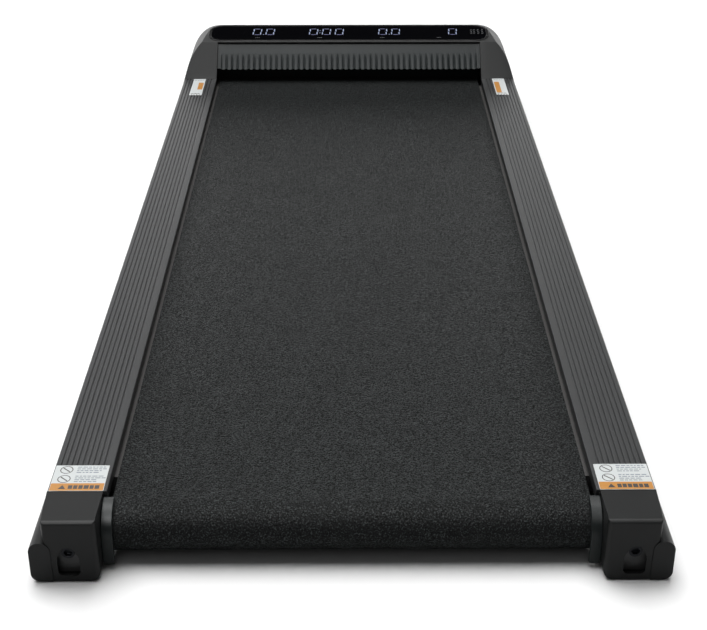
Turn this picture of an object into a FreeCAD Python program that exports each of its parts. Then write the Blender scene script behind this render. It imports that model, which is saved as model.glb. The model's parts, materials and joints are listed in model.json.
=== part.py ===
import FreeCAD, Part
import math
import os

import Sketcher

# A low motorised walking pad.  Millimetres, +Z up, +Y towards the motor hood, origin on the
# floor under the middle of the machine.  The step-on end is at -Y and +X is its right side.

Vector = FreeCAD.Vector
Rotation = FreeCAD.Rotation

SIZES = {
    # overall
    "half_length": 650.0,
    "wall": 2.5,
    # side rails: a C section with a grooved tread on top and a round bead low on the outside
    "rail_inner": 205.0,
    "rail_outer": 255.0,
    "rail_top": 60.0,
    "rail_rear": -605.0,
    "rail_front": 500.0,
    "rail_lip": 50.0,
    "bead_outer": 265.0,
    "bead_round": 9.0,
    "bead_mid": 30.7,
    "bead_low_mid": 12.5,
    "flange_inner": 238.0,
    "rib_inner": 243.0,
    "groove_first": 212.9,
    "groove_pitch": 4.6,
    "groove_wide": 1.5,
    "groove_deep": 0.8,
    "groove_count": 9.0,
    # walking belt and its two rollers
    "roller_z": 28.0,
    "rear_axis": -605.0,
    "front_axis": 530.0,
    "belt_half": 201.5,
    "belt_round": 23.0,
    "belt_thick": 2.0,
    "roller_round": 20.7,
    "roller_half": 199.0,
    "roller_wall": 2.5,
    "axle_round": 6.0,
    "axle_half": 240.0,
    "bearing_round": 16.0,
    "bearing_wide": 10.0,
    "running_gap": 0.05,
    "free_gap": 0.3,
    # deck and welded frame
    "deck_half": 240.0,
    "deck_rear": -568.0,
    "deck_front": 500.0,
    "deck_low": 33.7,
    "deck_thick": 15.0,
    "tube_inner": 226.0,
    "tube_outer": 250.0,
    "tube_low": 6.0,
    "tube_high": 30.0,
    "tube_wall": 2.0,
    "tube_rear": -575.0,
    "tube_front": 585.0,
    "cross_low": 12.0,
    "cross_high": 28.0,
    "cross_deep": 25.0,
    "screw_x": 234.0,
    # belt adjusters in the rear corners
    "adjust_x": 233.0,
    "bolt_round": 3.0,
    "bolt_head_round": 5.7,
    "bolt_head_long": 6.0,
    "key_round": 3.7,
    "key_deep": 3.6,
    "bolt_tip": -582.0,
    "bracket_rear": -641.0,
    "bracket_plate": 3.0,
    "bracket_low": 4.5,
    "bracket_high": 40.0,
    "bracket_inner": 216.0,
    "bracket_outer": 249.0,
    # end caps and roller guards
    "cap_inner": 208.0,
    "cap_taper": 2.2,
    "cap_low": 1.0,
    "cap_round": 4.0,
    "cap_corner": 8.0,
    "cap_edge": 4.5,
    "cap_side_edge": 3.0,
    "cap_step": 0.8,
    "cap_bulge_inner": 247.0,
    "cap_hole_half": 9.2,
    "cap_hole_low": 6.5,
    "cap_hole_high": 31.5,
    "cap_hole_round": 4.5,
    "head_room": 0.9,
    "guard_inner": 198.5,
    "guard_round": 28.0,
    "guard_thick": 3.7,
    "guard_rear": -607.0,
    # motor hood
    "hood_shell": 3.0,
    "hood_low": 4.0,
    "hood_edge_y": 550.0,
    "hood_edge_z": 104.0,
    "hood_top_y": 612.0,
    "hood_nose_z": 82.0,
    "hood_nose_round": 36.0,
    "hood_corner": 46.0,
    "hood_side_y": 5.0,
    "hood_hip_z": 30.0,
    "hood_flank_x": 250.5,
    "hood_flank_z": 75.0,
    "hood_flank_round": 67.0,
    "hood_crown_x": 187.2,
    "hood_crown_z": 120.0,
    "mouth_half": 205.5,
    "mouth_y": 553.0,
    "mouth_z": 101.3,
    "mouth_wall_z": 54.0,
    # ribbed panel between the shoulders
    "panel_y": 522.0,
    "panel_z": 70.0,
    "panel_lean": 46.0,
    "panel_long": 43.5,
    "panel_thick": 2.5,
    "panel_rib_long": 36.0,
    "panel_rib_pitch": 8.7,
    "panel_rib_half": 3.6,
    "panel_rib_high": 2.2,
    "panel_rib_count": 46.0,
    # display, laid out on the sloping top of the hood
    "display_lean": 7.5,
    "bezel_half": 222.0,
    "bezel_low": 3.0,
    "bezel_high": 65.0,
    "bezel_round": 24.0,
    "bezel_rim": 4.0,
    "bezel_sink": 1.5,
    "bezel_proud": 0.8,
    "bezel_skirt": 7.0,
    "lens_thick": 1.5,
    "window_margin": 10.0,
    "board_thick": 1.6,
    "digit_wide": 14.5,
    "digit_gap": 21.5,
    "digit_low": 20.0,
    "digit_high": 49.0,
    "digit_top": 1.2,
    # drive
    "motor_y": 600.0,
    "motor_z": 50.0,
    "motor_round": 38.0,
    "motor_wall": 4.0,
    "motor_left": -185.0,
    "motor_right": -25.0,
    "shaft_round": 4.0,
    "pulley_outer": 222.0,
    "pulley_inner": 209.5,
    "roller_pulley": 22.0,
    "motor_pulley": 9.0,
    "drive_thick": 2.0,
    "plate_low": 6.0,
    "plate_high": 9.0,
    "plate_rear": 556.0,
    "plate_front": 640.0,
    "pan_low": 2.0,
    "pan_half": 264.0,
    "pan_front": 648.0,
    # transport wheels
    "wheel_y": 616.0,
    "wheel_z": 21.0,
    "wheel_round": 20.0,
    "wheel_inner": 229.0,
    "wheel_outer": 248.0,
    "fork_inner": 226.2,
    "fork_outer": 251.5,
    "fork_front": 630.0,
    "fork_plate": 2.5,
    "fork_low": 8.0,
    "fork_high": 46.0,
    # things on the front face of the hood
    "socket_z": 46.0,
    "inlet_x": 150.0,
    "inlet_flange_half": 24.0,
    "inlet_flange_high": 12.0,
    "inlet_half": 13.6,
    "inlet_high": 9.8,
    "inlet_mouth_half": 12.1,
    "inlet_mouth_high": 8.0,
    "inlet_deep": 19.0,
    "flange_sink": 1.5,
    "rocker_x": 100.0,
    "rocker_frame_half": 10.5,
    "rocker_frame_high": 7.5,
    "rocker_lean": 12.0,
    "rocker_pivot": 640.0,
    "breaker_x": 68.0,
    "breaker_round": 6.0,
    "breaker_button": 3.0,
    "breaker_face": 648.0,
    # labels
    "label_thick": 0.25,
    "label_inner": 208.0,
    "label_outer": 253.9,
    "label_long": 38.0,
    "small_label_inner": 221.5,
    "small_label_outer": 240.0,
    "small_label_long": 78.0,
}

doc = FreeCAD.newDocument("WalkingPad")
sheet = doc.addObject("Spreadsheet::Sheet", "Sizes")
for row, (alias, number) in enumerate(SIZES.items(), 1):
    sheet.set("A%d" % row, alias)
    sheet.set("B%d" % row, str(number))
    sheet.setAlias("B%d" % row, alias)
doc.recompute()


# ---------------------------------------------------------------- sizes that carry their formula


class Size:
    """A number that remembers the sheet formula it comes from."""

    def __init__(self, value, formula):
        self.value = value
        self.formula = formula

    def __add__(self, other):
        other = as_size(other)
        return Size(self.value + other.value, "(%s + %s)" % (self.formula, other.formula))

    def __sub__(self, other):
        other = as_size(other)
        return Size(self.value - other.value, "(%s - %s)" % (self.formula, other.formula))

    def __rsub__(self, other):
        return as_size(other) - self

    def __mul__(self, other):
        other = as_size(other)
        return Size(self.value * other.value, "(%s * %s)" % (self.formula, other.formula))

    def __truediv__(self, other):
        other = as_size(other)
        return Size(self.value / other.value, "(%s / %s)" % (self.formula, other.formula))

    def __neg__(self):
        return Size(-self.value, "(0 - %s)" % self.formula)

    __radd__ = __add__
    __rmul__ = __mul__


def as_size(item):
    if isinstance(item, Size):
        return item
    if item < 0:
        return Size(float(item), "(0 - %r)" % float(-item))
    return Size(float(item), repr(float(item)))


class SheetRow:
    """s.name is the size called name in the sheet."""

    def __getattr__(self, name):
        return Size(SIZES[name], "Sizes." + name)


s = SheetRow()


def bind(item, prop, size):
    item.setExpression(prop, as_size(size).formula)


# ---------------------------------------------------------------- solids from the Part workbench

ALONG = {
    "x": (Rotation(Vector(0, 1, 0), 90), "xyz"),
    "y": (Rotation(Vector(1, 0, 0), -90), "yxz"),
    "z": (Rotation(), "zxy"),
}


def box(label, x, y, z):
    """A block between two values on each axis."""
    block = doc.addObject("Part::Box", label)
    for prop, axis, (low, high) in (("Length", "x", x), ("Width", "y", y), ("Height", "z", z)):
        bind(block, prop, as_size(high) - low)
        bind(block, "Placement.Base." + axis, low)
    return block


def rod(label, axis, centre, span, radius):
    """A cylinder along an axis; centre holds the other two coordinates, in x, y, z order."""
    cylinder = doc.addObject("Part::Cylinder", label)
    turn, order = ALONG[axis]
    cylinder.Placement = FreeCAD.Placement(Vector(), turn)
    bind(cylinder, "Radius", radius)
    bind(cylinder, "Height", as_size(span[1]) - span[0])
    for name, value in zip(order, (span[0], centre[0], centre[1])):
        bind(cylinder, "Placement.Base." + name, value)
    return cylinder


def ring(label, axis, centre, span, outer, inner):
    return cut(label, rod(label + "_disc", axis, centre, span, outer),
               rod(label + "_bore", axis, centre, span, inner))


def fuse(label, *pieces):
    made = doc.addObject("Part::MultiFuse", label)
    made.Shapes = list(pieces)
    made.Refine = True
    return made


def group(label, *pieces):
    """Separate solids under one name."""
    made = doc.addObject("Part::Compound", label)
    made.Links = list(pieces)
    return made


def cut(label, base, *tools):
    made = doc.addObject("Part::Cut", label)
    made.Base = base
    made.Tool = tools[0] if len(tools) == 1 else fuse(label + "_tools", *tools)
    return made


def common(label, *pieces):
    made = doc.addObject("Part::MultiCommon", label)
    made.Shapes = list(pieces)
    made.Refine = True
    return made


def mirror(label, piece):
    """The same piece on the other side of the machine."""
    made = doc.addObject("Part::Mirroring", label)
    made.Source = piece
    made.Normal = Vector(1, 0, 0)
    return made


# ---------------------------------------------------------------- bodies from the PartDesign workbench

# Plane of a sketch: the sign that carries a place on its normal axis to the sketch's offset,
# and whether a pad has to be reversed to grow along the positive axis.
PLANES = {"XY": (1, False), "XZ": (-1, True), "YZ": (1, False)}


def arc_between(start, end, radius):
    """The short arc from start to end; a positive radius turns left, a negative one right."""
    half = (end - start) * 0.5
    side = Vector(-half.y, half.x, 0).normalize()
    rise = math.sqrt(max(radius * radius - half.Length ** 2, 0.0))
    centre = start + half + side * math.copysign(rise, radius)
    first, last = (start, end) if radius > 0 else (end, start)
    angles = [math.atan2(point.y - centre.y, point.x - centre.x) for point in (first, last)]
    return Part.ArcOfCircle(Part.Circle(centre, Vector(0, 0, 1), abs(radius)), *angles)


def draw(body, name, plane, place, *loops):
    """A constrained sketch; a corner is (across, up) or (across, up, radius of the arc to the next)."""
    sketch = body.newObject("Sketcher::SketchObject", name)
    role = plane + "_Plane"
    support = next(item for item in body.Origin.OriginFeatures if item.Role == role)
    sketch.AttachmentSupport = [(support, "")]
    sketch.MapMode = "FlatFace"
    bind(sketch, "AttachmentOffset.Base.z", as_size(place) * PLANES[plane][0])
    for loop in loops:
        trace(sketch, [[as_size(value) for value in corner] for corner in loop])
    return sketch


def trace(sketch, corners):
    """Adds one closed loop to a sketch, every corner held by the sheet."""
    points = [Vector(corner[0].value, corner[1].value, 0) for corner in corners]
    first = sketch.GeometryCount
    count = len(corners)
    starts = []
    for number, corner in enumerate(corners):
        start, end = points[number], points[(number + 1) % count]
        if len(corner) == 3:
            sketch.addGeometry(arc_between(start, end, corner[2].value), False)
            starts.append(1 if corner[2].value > 0 else 2)
        else:
            sketch.addGeometry(Part.LineSegment(start, end), False)
            starts.append(1)
    rules, formulas = [], []
    for number, corner in enumerate(corners):
        after = (number + 1) % count
        here, there = first + number, first + after
        rules.append(Sketcher.Constraint("Coincident", here, 3 - starts[number], there, starts[after]))
        formulas.append(None)
        for kind, size, axis in (("DistanceX", corner[0], -2), ("DistanceY", corner[1], -1)):
            if abs(size.value) < 1e-9:
                rules.append(Sketcher.Constraint("PointOnObject", here, starts[number], axis))
                formulas.append(None)
            else:
                rules.append(Sketcher.Constraint(kind, -1, 1, here, starts[number], size.value))
                formulas.append(size.formula)
        if len(corner) == 3:
            radius = corner[2] if corner[2].value > 0 else -corner[2]
            rules.append(Sketcher.Constraint("Radius", here, radius.value))
            formulas.append(radius.formula)
    offset = sketch.ConstraintCount
    sketch.addConstraint(rules)
    for number, formula in enumerate(formulas):
        if formula:
            sketch.setExpression("Constraints[%d]" % (offset + number), formula)


def prism(label, plane, span, *loops):
    """A body padded from closed outlines, from span's low end to its high end."""
    body = doc.addObject("PartDesign::Body", label)
    sketch = draw(body, label + "_outline", plane, span[0], *loops)
    pad = body.newObject("PartDesign::Pad", label + "_pad")
    pad.Profile = sketch
    pad.Reversed = PLANES[plane][1]
    bind(pad, "Length", as_size(span[1]) - span[0])
    sketch.Visibility = False
    return body


def add(body, name, plane, span, *loops):
    """Pads one more outline onto a body."""
    sketch = draw(body, name + "_outline", plane, span[0], *loops)
    pad = body.newObject("PartDesign::Pad", name)
    pad.Profile = sketch
    pad.Reversed = PLANES[plane][1]
    bind(pad, "Length", as_size(span[1]) - span[0])
    return pad


def pocket(body, name, plane, span, *loops):
    """Cuts an outline out of a body and makes sure that something was cut."""
    doc.recompute()
    before = body.Shape.Volume
    sketch = draw(body, name + "_outline", plane, span[0], *loops)
    made = body.newObject("PartDesign::Pocket", name)
    made.Profile = sketch
    made.Reversed = not PLANES[plane][1]
    bind(made, "Length", as_size(span[1]) - span[0])
    doc.recompute()
    if body.Shape.Volume > before - 1.0:
        raise ValueError("%s cuts nothing" % name)
    return made


def repeat(body, name, feature, sketch_axis, count, pitch):
    """A row of one feature along its sketch's own axis."""
    row = body.newObject("PartDesign::LinearPattern", name)
    row.Originals = [feature]
    row.Direction = (feature.Profile[0], [sketch_axis])
    bind(row, "Length", pitch * (count - 1))
    row.Occurrences = int(count.value)
    body.Tip = row
    return row


def turned(label, centre, *loops):
    """A body turned about an axis along X through centre (y, z); outlines are (x, radius)."""
    body = doc.addObject("PartDesign::Body", label)
    sketch = draw(body, label + "_outline", "XY", 0, *loops)
    turn = body.newObject("PartDesign::Revolution", label + "_turn")
    turn.Profile = sketch
    turn.ReferenceAxis = (sketch, ["H_Axis"])
    turn.Angle = 360
    bind(body, "Placement.Base.y", centre[0])
    bind(body, "Placement.Base.z", centre[1])
    return body


def fillet(body, name, radius, chosen):
    """Rounds the edges of a body's last feature that the test picks."""
    doc.recompute()
    feature = body.Tip
    edges = ["Edge%d" % number for number, edge in enumerate(feature.Shape.Edges, 1) if chosen(edge)]
    made = body.newObject("PartDesign::Fillet", name)
    made.Base = (feature, edges)
    bind(made, "Radius", radius)
    return made


# ---------------------------------------------------------------- outlines


def rectangle(across, up):
    return [(across[0], up[0]), (across[1], up[0]), (across[1], up[1]), (across[0], up[1])]


def rounded(across, up, radius):
    """A rectangle with round corners."""
    left, right = as_size(across[0]), as_size(across[1])
    low, high = as_size(up[0]), as_size(up[1])
    return [(left + radius, low), (right - radius, low, radius), (right, low + radius),
            (right, high - radius, radius), (right - radius, high), (left + radius, high, radius),
            (left, high - radius), (left, low + radius, radius)]


def slot_across(low, high, mid, radius):
    """A slot along the sketch's first axis; low and high are its round ends' centres."""
    return [(low, mid - radius), (high, mid - radius, radius), (high + radius, mid, radius),
            (high, mid + radius), (low, mid + radius, radius), (low - radius, mid, radius)]


def slot_up(mid, low, high, radius):
    """A slot along the sketch's second axis."""
    return [(mid + radius, low), (mid + radius, high, radius), (mid, high + radius, radius),
            (mid - radius, high), (mid - radius, low, radius), (mid, low - radius, radius)]


# ---------------------------------------------------------------- fasteners


def screw(label, axis, centre, seat, tip, head_round, head_long, shank_round):
    """A screw whose head rests on seat and whose shank ends at tip."""
    outward = -1 if tip.value > seat.value else 1
    top = seat + head_long * outward
    head_span = sorted((seat, top), key=lambda size: size.value)
    shank_span = sorted((seat, tip), key=lambda size: size.value)
    return fuse(label, rod(label + "_head", axis, centre, head_span, head_round),
                rod(label + "_shank", axis, centre, shank_span, shank_round))


def both_sides(label, *pieces):
    """Pieces of the right side together with their mirror images."""
    right = group(label + "_right", *pieces)
    return group(label, right, mirror(label + "_left", right))


# ---------------------------------------------------------------- walking belt, deck and frame

nodes = {}


def keep(piece):
    """Names a finished piece as one of the machine's parts."""
    nodes[piece.Label] = piece
    return piece


belt_inner_round = s.belt_round - s.belt_thick
keep(prism("running_belt", "YZ", (-s.belt_half, s.belt_half),
           slot_across(s.rear_axis, s.front_axis, s.roller_z, s.belt_round),
           slot_across(s.rear_axis, s.front_axis, s.roller_z, belt_inner_round)))

deck_top = s.deck_low + s.deck_thick
DECK_SCREWS = (-500, -300, -100, 100, 300, 460)
deck_screws = [screw("deck_screw_%d" % number, "z", (s.screw_x, y), deck_top - 3, s.tube_high - 12,
                     6, 3, 2.5) for number, y in enumerate(DECK_SCREWS, 1)]
deck_screws = keep(both_sides("deck_screws", *deck_screws))
board = box("deck_blank", (-s.deck_half, s.deck_half), (s.deck_rear, s.deck_front),
            (s.deck_low, deck_top))
keep(cut("deck_board", board, deck_screws))
cushions = [box("cushion_%d" % number, (228, s.deck_half), (y - 30, y + 30), (s.tube_high, s.deck_low))
            for number, y in enumerate(DECK_SCREWS, 1)]
keep(cut("deck_cushions", both_sides("cushion_blanks", *cushions), deck_screws))

RAIL_SCREWS = (-470, -160, 160, 430)
rail_seat = s.bead_low_mid - s.bead_round
rail_screws = [screw("rail_screw_%d" % number, "z", (s.rib_inner + 1, y), rail_seat, s.tube_low + 4,
                     4.5, 2.2, 2.5) for number, y in enumerate(RAIL_SCREWS, 1)]
axle_bolt = screw("axle_bolt", "z", (s.screw_x, s.front_axis), s.roller_z + s.axle_round, s.tube_low,
                  s.bolt_head_round, 5, s.bolt_round)

tube = prism("frame_tube_blank", "XZ", (s.tube_rear, s.tube_front),
             rounded((s.tube_inner, s.tube_outer), (s.tube_low, s.tube_high), 3),
             rounded((s.tube_inner + s.tube_wall, s.tube_outer - s.tube_wall),
                     (s.tube_low + s.tube_wall, s.tube_high - s.tube_wall), 1))
axle_seat = box("axle_seat", (s.tube_inner - 1, s.axle_half + 0.5),
                (s.front_axis - s.axle_round, s.front_axis + s.axle_round),
                (s.roller_z, s.tube_high + 1))
axle_groove = rod("axle_groove", "x", (s.front_axis, s.roller_z), (s.tube_inner - 1, s.axle_half + 0.5),
                  s.axle_round)
right_tube = keep(cut("frame_tube_right", tube, axle_seat, axle_groove, axle_bolt, *rail_screws,
                      *[rod("tube_thread_%d" % number, "z", (s.screw_x, y),
                            (s.tube_high - 12, s.tube_high + 1), 2.5)
                        for number, y in enumerate(DECK_SCREWS, 1)]))
keep(mirror("frame_tube_left", right_tube))

cross_wall = s.tube_wall * 0.75
members = [prism("cross_%s" % name, "YZ", (-s.tube_inner, s.tube_inner),
                 rectangle((y, y + s.cross_deep), (s.cross_low, s.cross_high)),
                 rectangle((y + cross_wall, y + s.cross_deep - cross_wall),
                           (s.cross_low + cross_wall, s.cross_high - cross_wall)))
           for name, y in (("rear", -540), ("middle", -12.5), ("front", 455))]
keep(group("cross_members", *members))

# ---------------------------------------------------------------- rear brackets and belt adjusters

bracket_walls = fuse(
    "bracket_walls",
    box("bracket_end", (s.bracket_inner, s.bracket_outer), (s.bracket_rear, s.bracket_rear + s.bracket_plate),
        (s.bracket_low, s.bracket_high)),
    box("bracket_side", (s.bracket_outer - s.bracket_plate, s.bracket_outer), (s.bracket_rear, s.tube_rear),
        (s.tube_low, s.bracket_high)),
    box("bracket_floor", (s.bracket_inner, s.bracket_outer), (s.bracket_rear, s.rail_rear),
        (s.bracket_low, s.bracket_low + s.bracket_plate)),
    box("bracket_base", (s.bracket_inner, s.bracket_outer), (s.tube_rear - s.bracket_plate, s.tube_rear),
        (s.tube_low, s.tube_high)))
adjuster_hole = rod("adjuster_hole", "y", (s.adjust_x, s.roller_z),
                    (s.bracket_rear - 1, s.bracket_rear + s.bracket_plate + 1),
                    s.bolt_round + s.free_gap)
cap_screw = screw("cap_screw", "z", (222, -625), s.cap_low, s.bracket_low + s.bracket_plate, 4, 1.2, 2)
keep(both_sides("rear_brackets", cut("bracket", bracket_walls, adjuster_hole, cap_screw)))

head_back = s.bracket_rear - s.running_gap * 2
bolt_head = rod("adjuster_head", "y", (s.adjust_x, s.roller_z), (head_back - s.bolt_head_long, head_back),
                s.bolt_head_round)
bolt_shank = rod("adjuster_shank", "y", (s.adjust_x, s.roller_z), (head_back, s.bolt_tip), s.bolt_round)
hex_key = doc.addObject("Part::Prism", "adjuster_socket")
hex_key.Polygon = 6
hex_key.Placement = FreeCAD.Placement(Vector(), ALONG["y"][0])
bind(hex_key, "Circumradius", s.key_round)
bind(hex_key, "Height", s.key_deep)
bind(hex_key, "Placement.Base.x", s.adjust_x)
bind(hex_key, "Placement.Base.y", head_back - s.bolt_head_long)
bind(hex_key, "Placement.Base.z", s.roller_z)
right_bolt = keep(cut("adjust_bolt_right", fuse("adjuster_blank", bolt_head, bolt_shank), hex_key))
keep(mirror("adjust_bolt_left", right_bolt))

# ---------------------------------------------------------------- side rails

bead_x = s.bead_outer - s.bead_round
bead_bore = s.bead_round - s.wall
rail_under = s.rail_top - s.wall
rail_skin = s.rail_outer - s.wall
rib_outer = s.rib_inner + s.wall
rail_outline = [
    (s.rail_inner, s.rail_top), (s.rail_inner, s.rail_lip), (s.rail_inner + s.wall, s.rail_lip),
    (s.rail_inner + s.wall, rail_under), (s.rib_inner, rail_under), (s.rib_inner, s.tube_high),
    (rib_outer, s.tube_high), (rib_outer, rail_under), (rail_skin, rail_under),
    (rail_skin, s.bead_mid + bead_bore), (bead_x, s.bead_mid + bead_bore, -bead_bore),
    (bead_x + bead_bore, s.bead_mid), (bead_x + bead_bore, s.bead_low_mid, -bead_bore),
    (bead_x, s.bead_low_mid - bead_bore), (s.flange_inner, s.bead_low_mid - bead_bore),
    (s.flange_inner, rail_seat), (bead_x, rail_seat, s.bead_round),
    (s.bead_outer, s.bead_low_mid), (s.bead_outer, s.bead_mid, s.bead_round),
    (bead_x, s.bead_mid + s.bead_round), (s.rail_outer, s.bead_mid + s.bead_round),
    (s.rail_outer, s.rail_top)]
rail = prism("side_rail_blank", "XZ", (s.rail_rear, s.rail_front), rail_outline)
groove = pocket(rail, "tread_groove", "XZ", (s.rail_rear, s.rail_front),
                [(s.groove_first - s.groove_wide / 2, s.rail_top),
                 (s.groove_first - s.groove_wide / 4, s.rail_top - s.groove_deep),
                 (s.groove_first + s.groove_wide / 4, s.rail_top - s.groove_deep),
                 (s.groove_first + s.groove_wide / 2, s.rail_top)])
repeat(rail, "tread_grooves", groove, "H_Axis", s.groove_count, s.groove_pitch)
right_rail = keep(cut("side_rail_right", rail, *rail_screws))
keep(mirror("side_rail_left", right_rail))

# ---------------------------------------------------------------- end caps and roller guards

rear_face = -s.half_length


def cap_form(name, inset):
    """The end cap's outer form, or the form of its hollow, which is open towards the rail."""
    mouth = s.rail_rear + (1 if inset else 0)
    low = s.cap_low + inset
    high = s.rail_top - inset
    inner = s.cap_inner + inset
    outer = s.rail_outer - s.cap_taper - inset
    tongue = rear_face + inset
    face = tongue + s.cap_step
    bend = s.cap_round - (inset * 0.6 if inset else 0)
    corner = s.cap_corner - inset
    edge = s.cap_edge - (inset if inset else 0)
    side = prism(name + "_side", "YZ", (s.cap_inner, s.bead_outer),
                 [(mouth, low), (mouth, high), (face + bend, high, bend), (face, high - bend),
                  (face, low)])
    plan = prism(name + "_plan", "XY", (0, s.rail_top),
                 [(inner, mouth), (inner, face + edge, edge), (inner + edge, face),
                  (outer - s.cap_side_edge, face, s.cap_side_edge), (outer, face + s.cap_side_edge),
                  (s.rail_outer - inset, mouth)])
    view = prism(name + "_view", "XZ", (rear_face, mouth),
                 [(inner, high), (inner, low + corner, corner), (inner + corner, low),
                  (s.bead_outer, low), (s.bead_outer, high)])
    block = common(name + "_block", side, plan, view)
    middle = s.bead_outer - s.bead_round
    arch = s.bead_round - inset
    bulge = prism(name + "_bulge", "XZ", (tongue, mouth),
                  [(s.cap_bulge_inner + inset, low), (middle + arch - corner, low, corner),
                   (middle + arch, low + corner), (middle + arch, s.bead_mid, arch),
                   (middle, s.bead_mid + arch, arch), (middle - arch, s.bead_mid)])
    return fuse(name, block, bulge)


key_hole = prism("key_hole", "XZ", (rear_face - 1, rear_face + s.wall + 5),
                 [(s.adjust_x + s.cap_hole_half - s.cap_hole_round, s.cap_hole_low, s.cap_hole_round),
                  (s.adjust_x + s.cap_hole_half, s.cap_hole_low + s.cap_hole_round),
                  (s.adjust_x + s.cap_hole_half, s.cap_hole_high - s.cap_hole_half, s.cap_hole_half),
                  (s.adjust_x, s.cap_hole_high, s.cap_hole_half),
                  (s.adjust_x - s.cap_hole_half, s.cap_hole_high - s.cap_hole_half),
                  (s.adjust_x - s.cap_hole_half, s.cap_hole_low + s.cap_hole_round, s.cap_hole_round),
                  (s.adjust_x - s.cap_hole_half + s.cap_hole_round, s.cap_hole_low)])
head_arch = rod("head_arch", "y", (s.adjust_x, s.roller_z), (rear_face - 1, rear_face + s.wall + 5),
                s.bolt_head_round + s.head_room)
axle_notch = box("axle_notch", (s.cap_inner - 1, s.cap_inner + s.wall + 1),
                 (s.rear_axis - s.axle_round - 0.5, s.rail_rear + 2),
                 (s.roller_z - s.axle_round - s.free_gap, s.roller_z + s.axle_round + s.free_gap))
right_cap = keep(cut("end_cap_right", cap_form("cap", 0), cap_form("cap_hollow", s.wall), key_hole,
                     head_arch, axle_notch, cap_screw))
keep(mirror("end_cap_left", right_cap))

guard_inner_round = s.guard_round - s.guard_thick
guard_low = s.roller_z - s.belt_round
reach = s.guard_rear - s.rear_axis
guard_top = s.roller_z + math.sqrt(s.guard_round.value ** 2 - reach.value ** 2)
guard_under = s.roller_z + math.sqrt(guard_inner_round.value ** 2 - reach.value ** 2)
guard = prism("guard", "YZ", (s.guard_inner, s.cap_inner),
              [(s.guard_rear, guard_top, s.guard_round), (s.rear_axis - s.guard_round, s.roller_z),
               (s.rear_axis - s.guard_round, guard_low), (s.rear_axis - guard_inner_round, guard_low),
               (s.rear_axis - guard_inner_round, s.roller_z, -guard_inner_round),
               (s.guard_rear, guard_under)])
add(guard, "guard_web", "YZ", (s.cap_inner - 3, s.cap_inner),
    [(s.guard_rear, guard_under + 0.5, guard_inner_round + 0.5),
     (s.rear_axis - guard_inner_round - 0.5, s.roller_z),
     (s.rear_axis - guard_inner_round - 0.5, guard_low), (s.guard_rear, guard_low)])
pocket(guard, "guard_slot", "YZ", (s.cap_inner - 4, s.cap_inner + 1),
       rectangle((s.rear_axis - s.axle_round - 0.5, s.guard_rear + 1),
                 (s.roller_z - s.axle_round - s.free_gap, s.roller_z + s.axle_round + s.free_gap)))
keep(both_sides("roller_guards", guard))

# ---------------------------------------------------------------- rollers

rear_centre = (s.rear_axis, s.roller_z)
front_centre = (s.front_axis, s.roller_z)
tube_bore = s.roller_round - s.roller_wall
bearing_inner = s.roller_half - s.bearing_wide


def roller(name, centre):
    """A roller's tube, its two plugs and its two ball bearings."""
    keep(turned(name + "_tube", centre, rectangle((-s.roller_half, s.roller_half), (tube_bore, s.roller_round))))
    plug = turned(name + "_plug", centre,
                  [(bearing_inner - 4, s.bearing_round - 3), (bearing_inner, s.bearing_round - 3),
                   (bearing_inner, s.bearing_round), (s.roller_half, s.bearing_round),
                   (s.roller_half, tube_bore), (bearing_inner - 4, tube_bore)])
    keep(both_sides(name + "_plugs", plug))
    bearing = turned(name + "_bearing", centre,
                     rectangle((bearing_inner, s.roller_half),
                               (s.axle_round + s.running_gap, s.bearing_round)))
    keep(both_sides(name + "_bearings", bearing))


roller("rear_roller", rear_centre)
roller("front_roller", front_centre)

axle = rod("rear_axle_blank", "x", rear_centre, (-s.axle_half, s.axle_half), s.axle_round)
thread = rod("rear_axle_thread", "y", (s.adjust_x, s.roller_z),
             (s.rear_axis - 10, s.rear_axis + 10), s.bolt_round + s.running_gap)
keep(cut("rear_axle", axle, both_sides("rear_axle_threads", thread)))
axle_bolts = both_sides("axle_bolts", axle_bolt)
keep(cut("front_axle", rod("front_axle_blank", "x", front_centre, (-s.axle_half, s.axle_half), s.axle_round),
         axle_bolts))

# ---------------------------------------------------------------- drive

keep(turned("roller_pulley", front_centre,
            [(-s.pulley_outer, s.axle_round + 2), (-s.pulley_inner, s.axle_round + 2),
             (-s.pulley_inner, s.bearing_round - 2), (-s.roller_half, s.bearing_round - 2),
             (-s.roller_half, s.roller_round - 0.7), (-s.pulley_inner + 2, s.roller_round - 0.7),
             (-s.pulley_inner + 2, s.roller_pulley + 1.5), (-s.pulley_inner, s.roller_pulley + 1.5),
             (-s.pulley_inner, s.roller_pulley), (-s.pulley_outer, s.roller_pulley)]))

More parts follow.
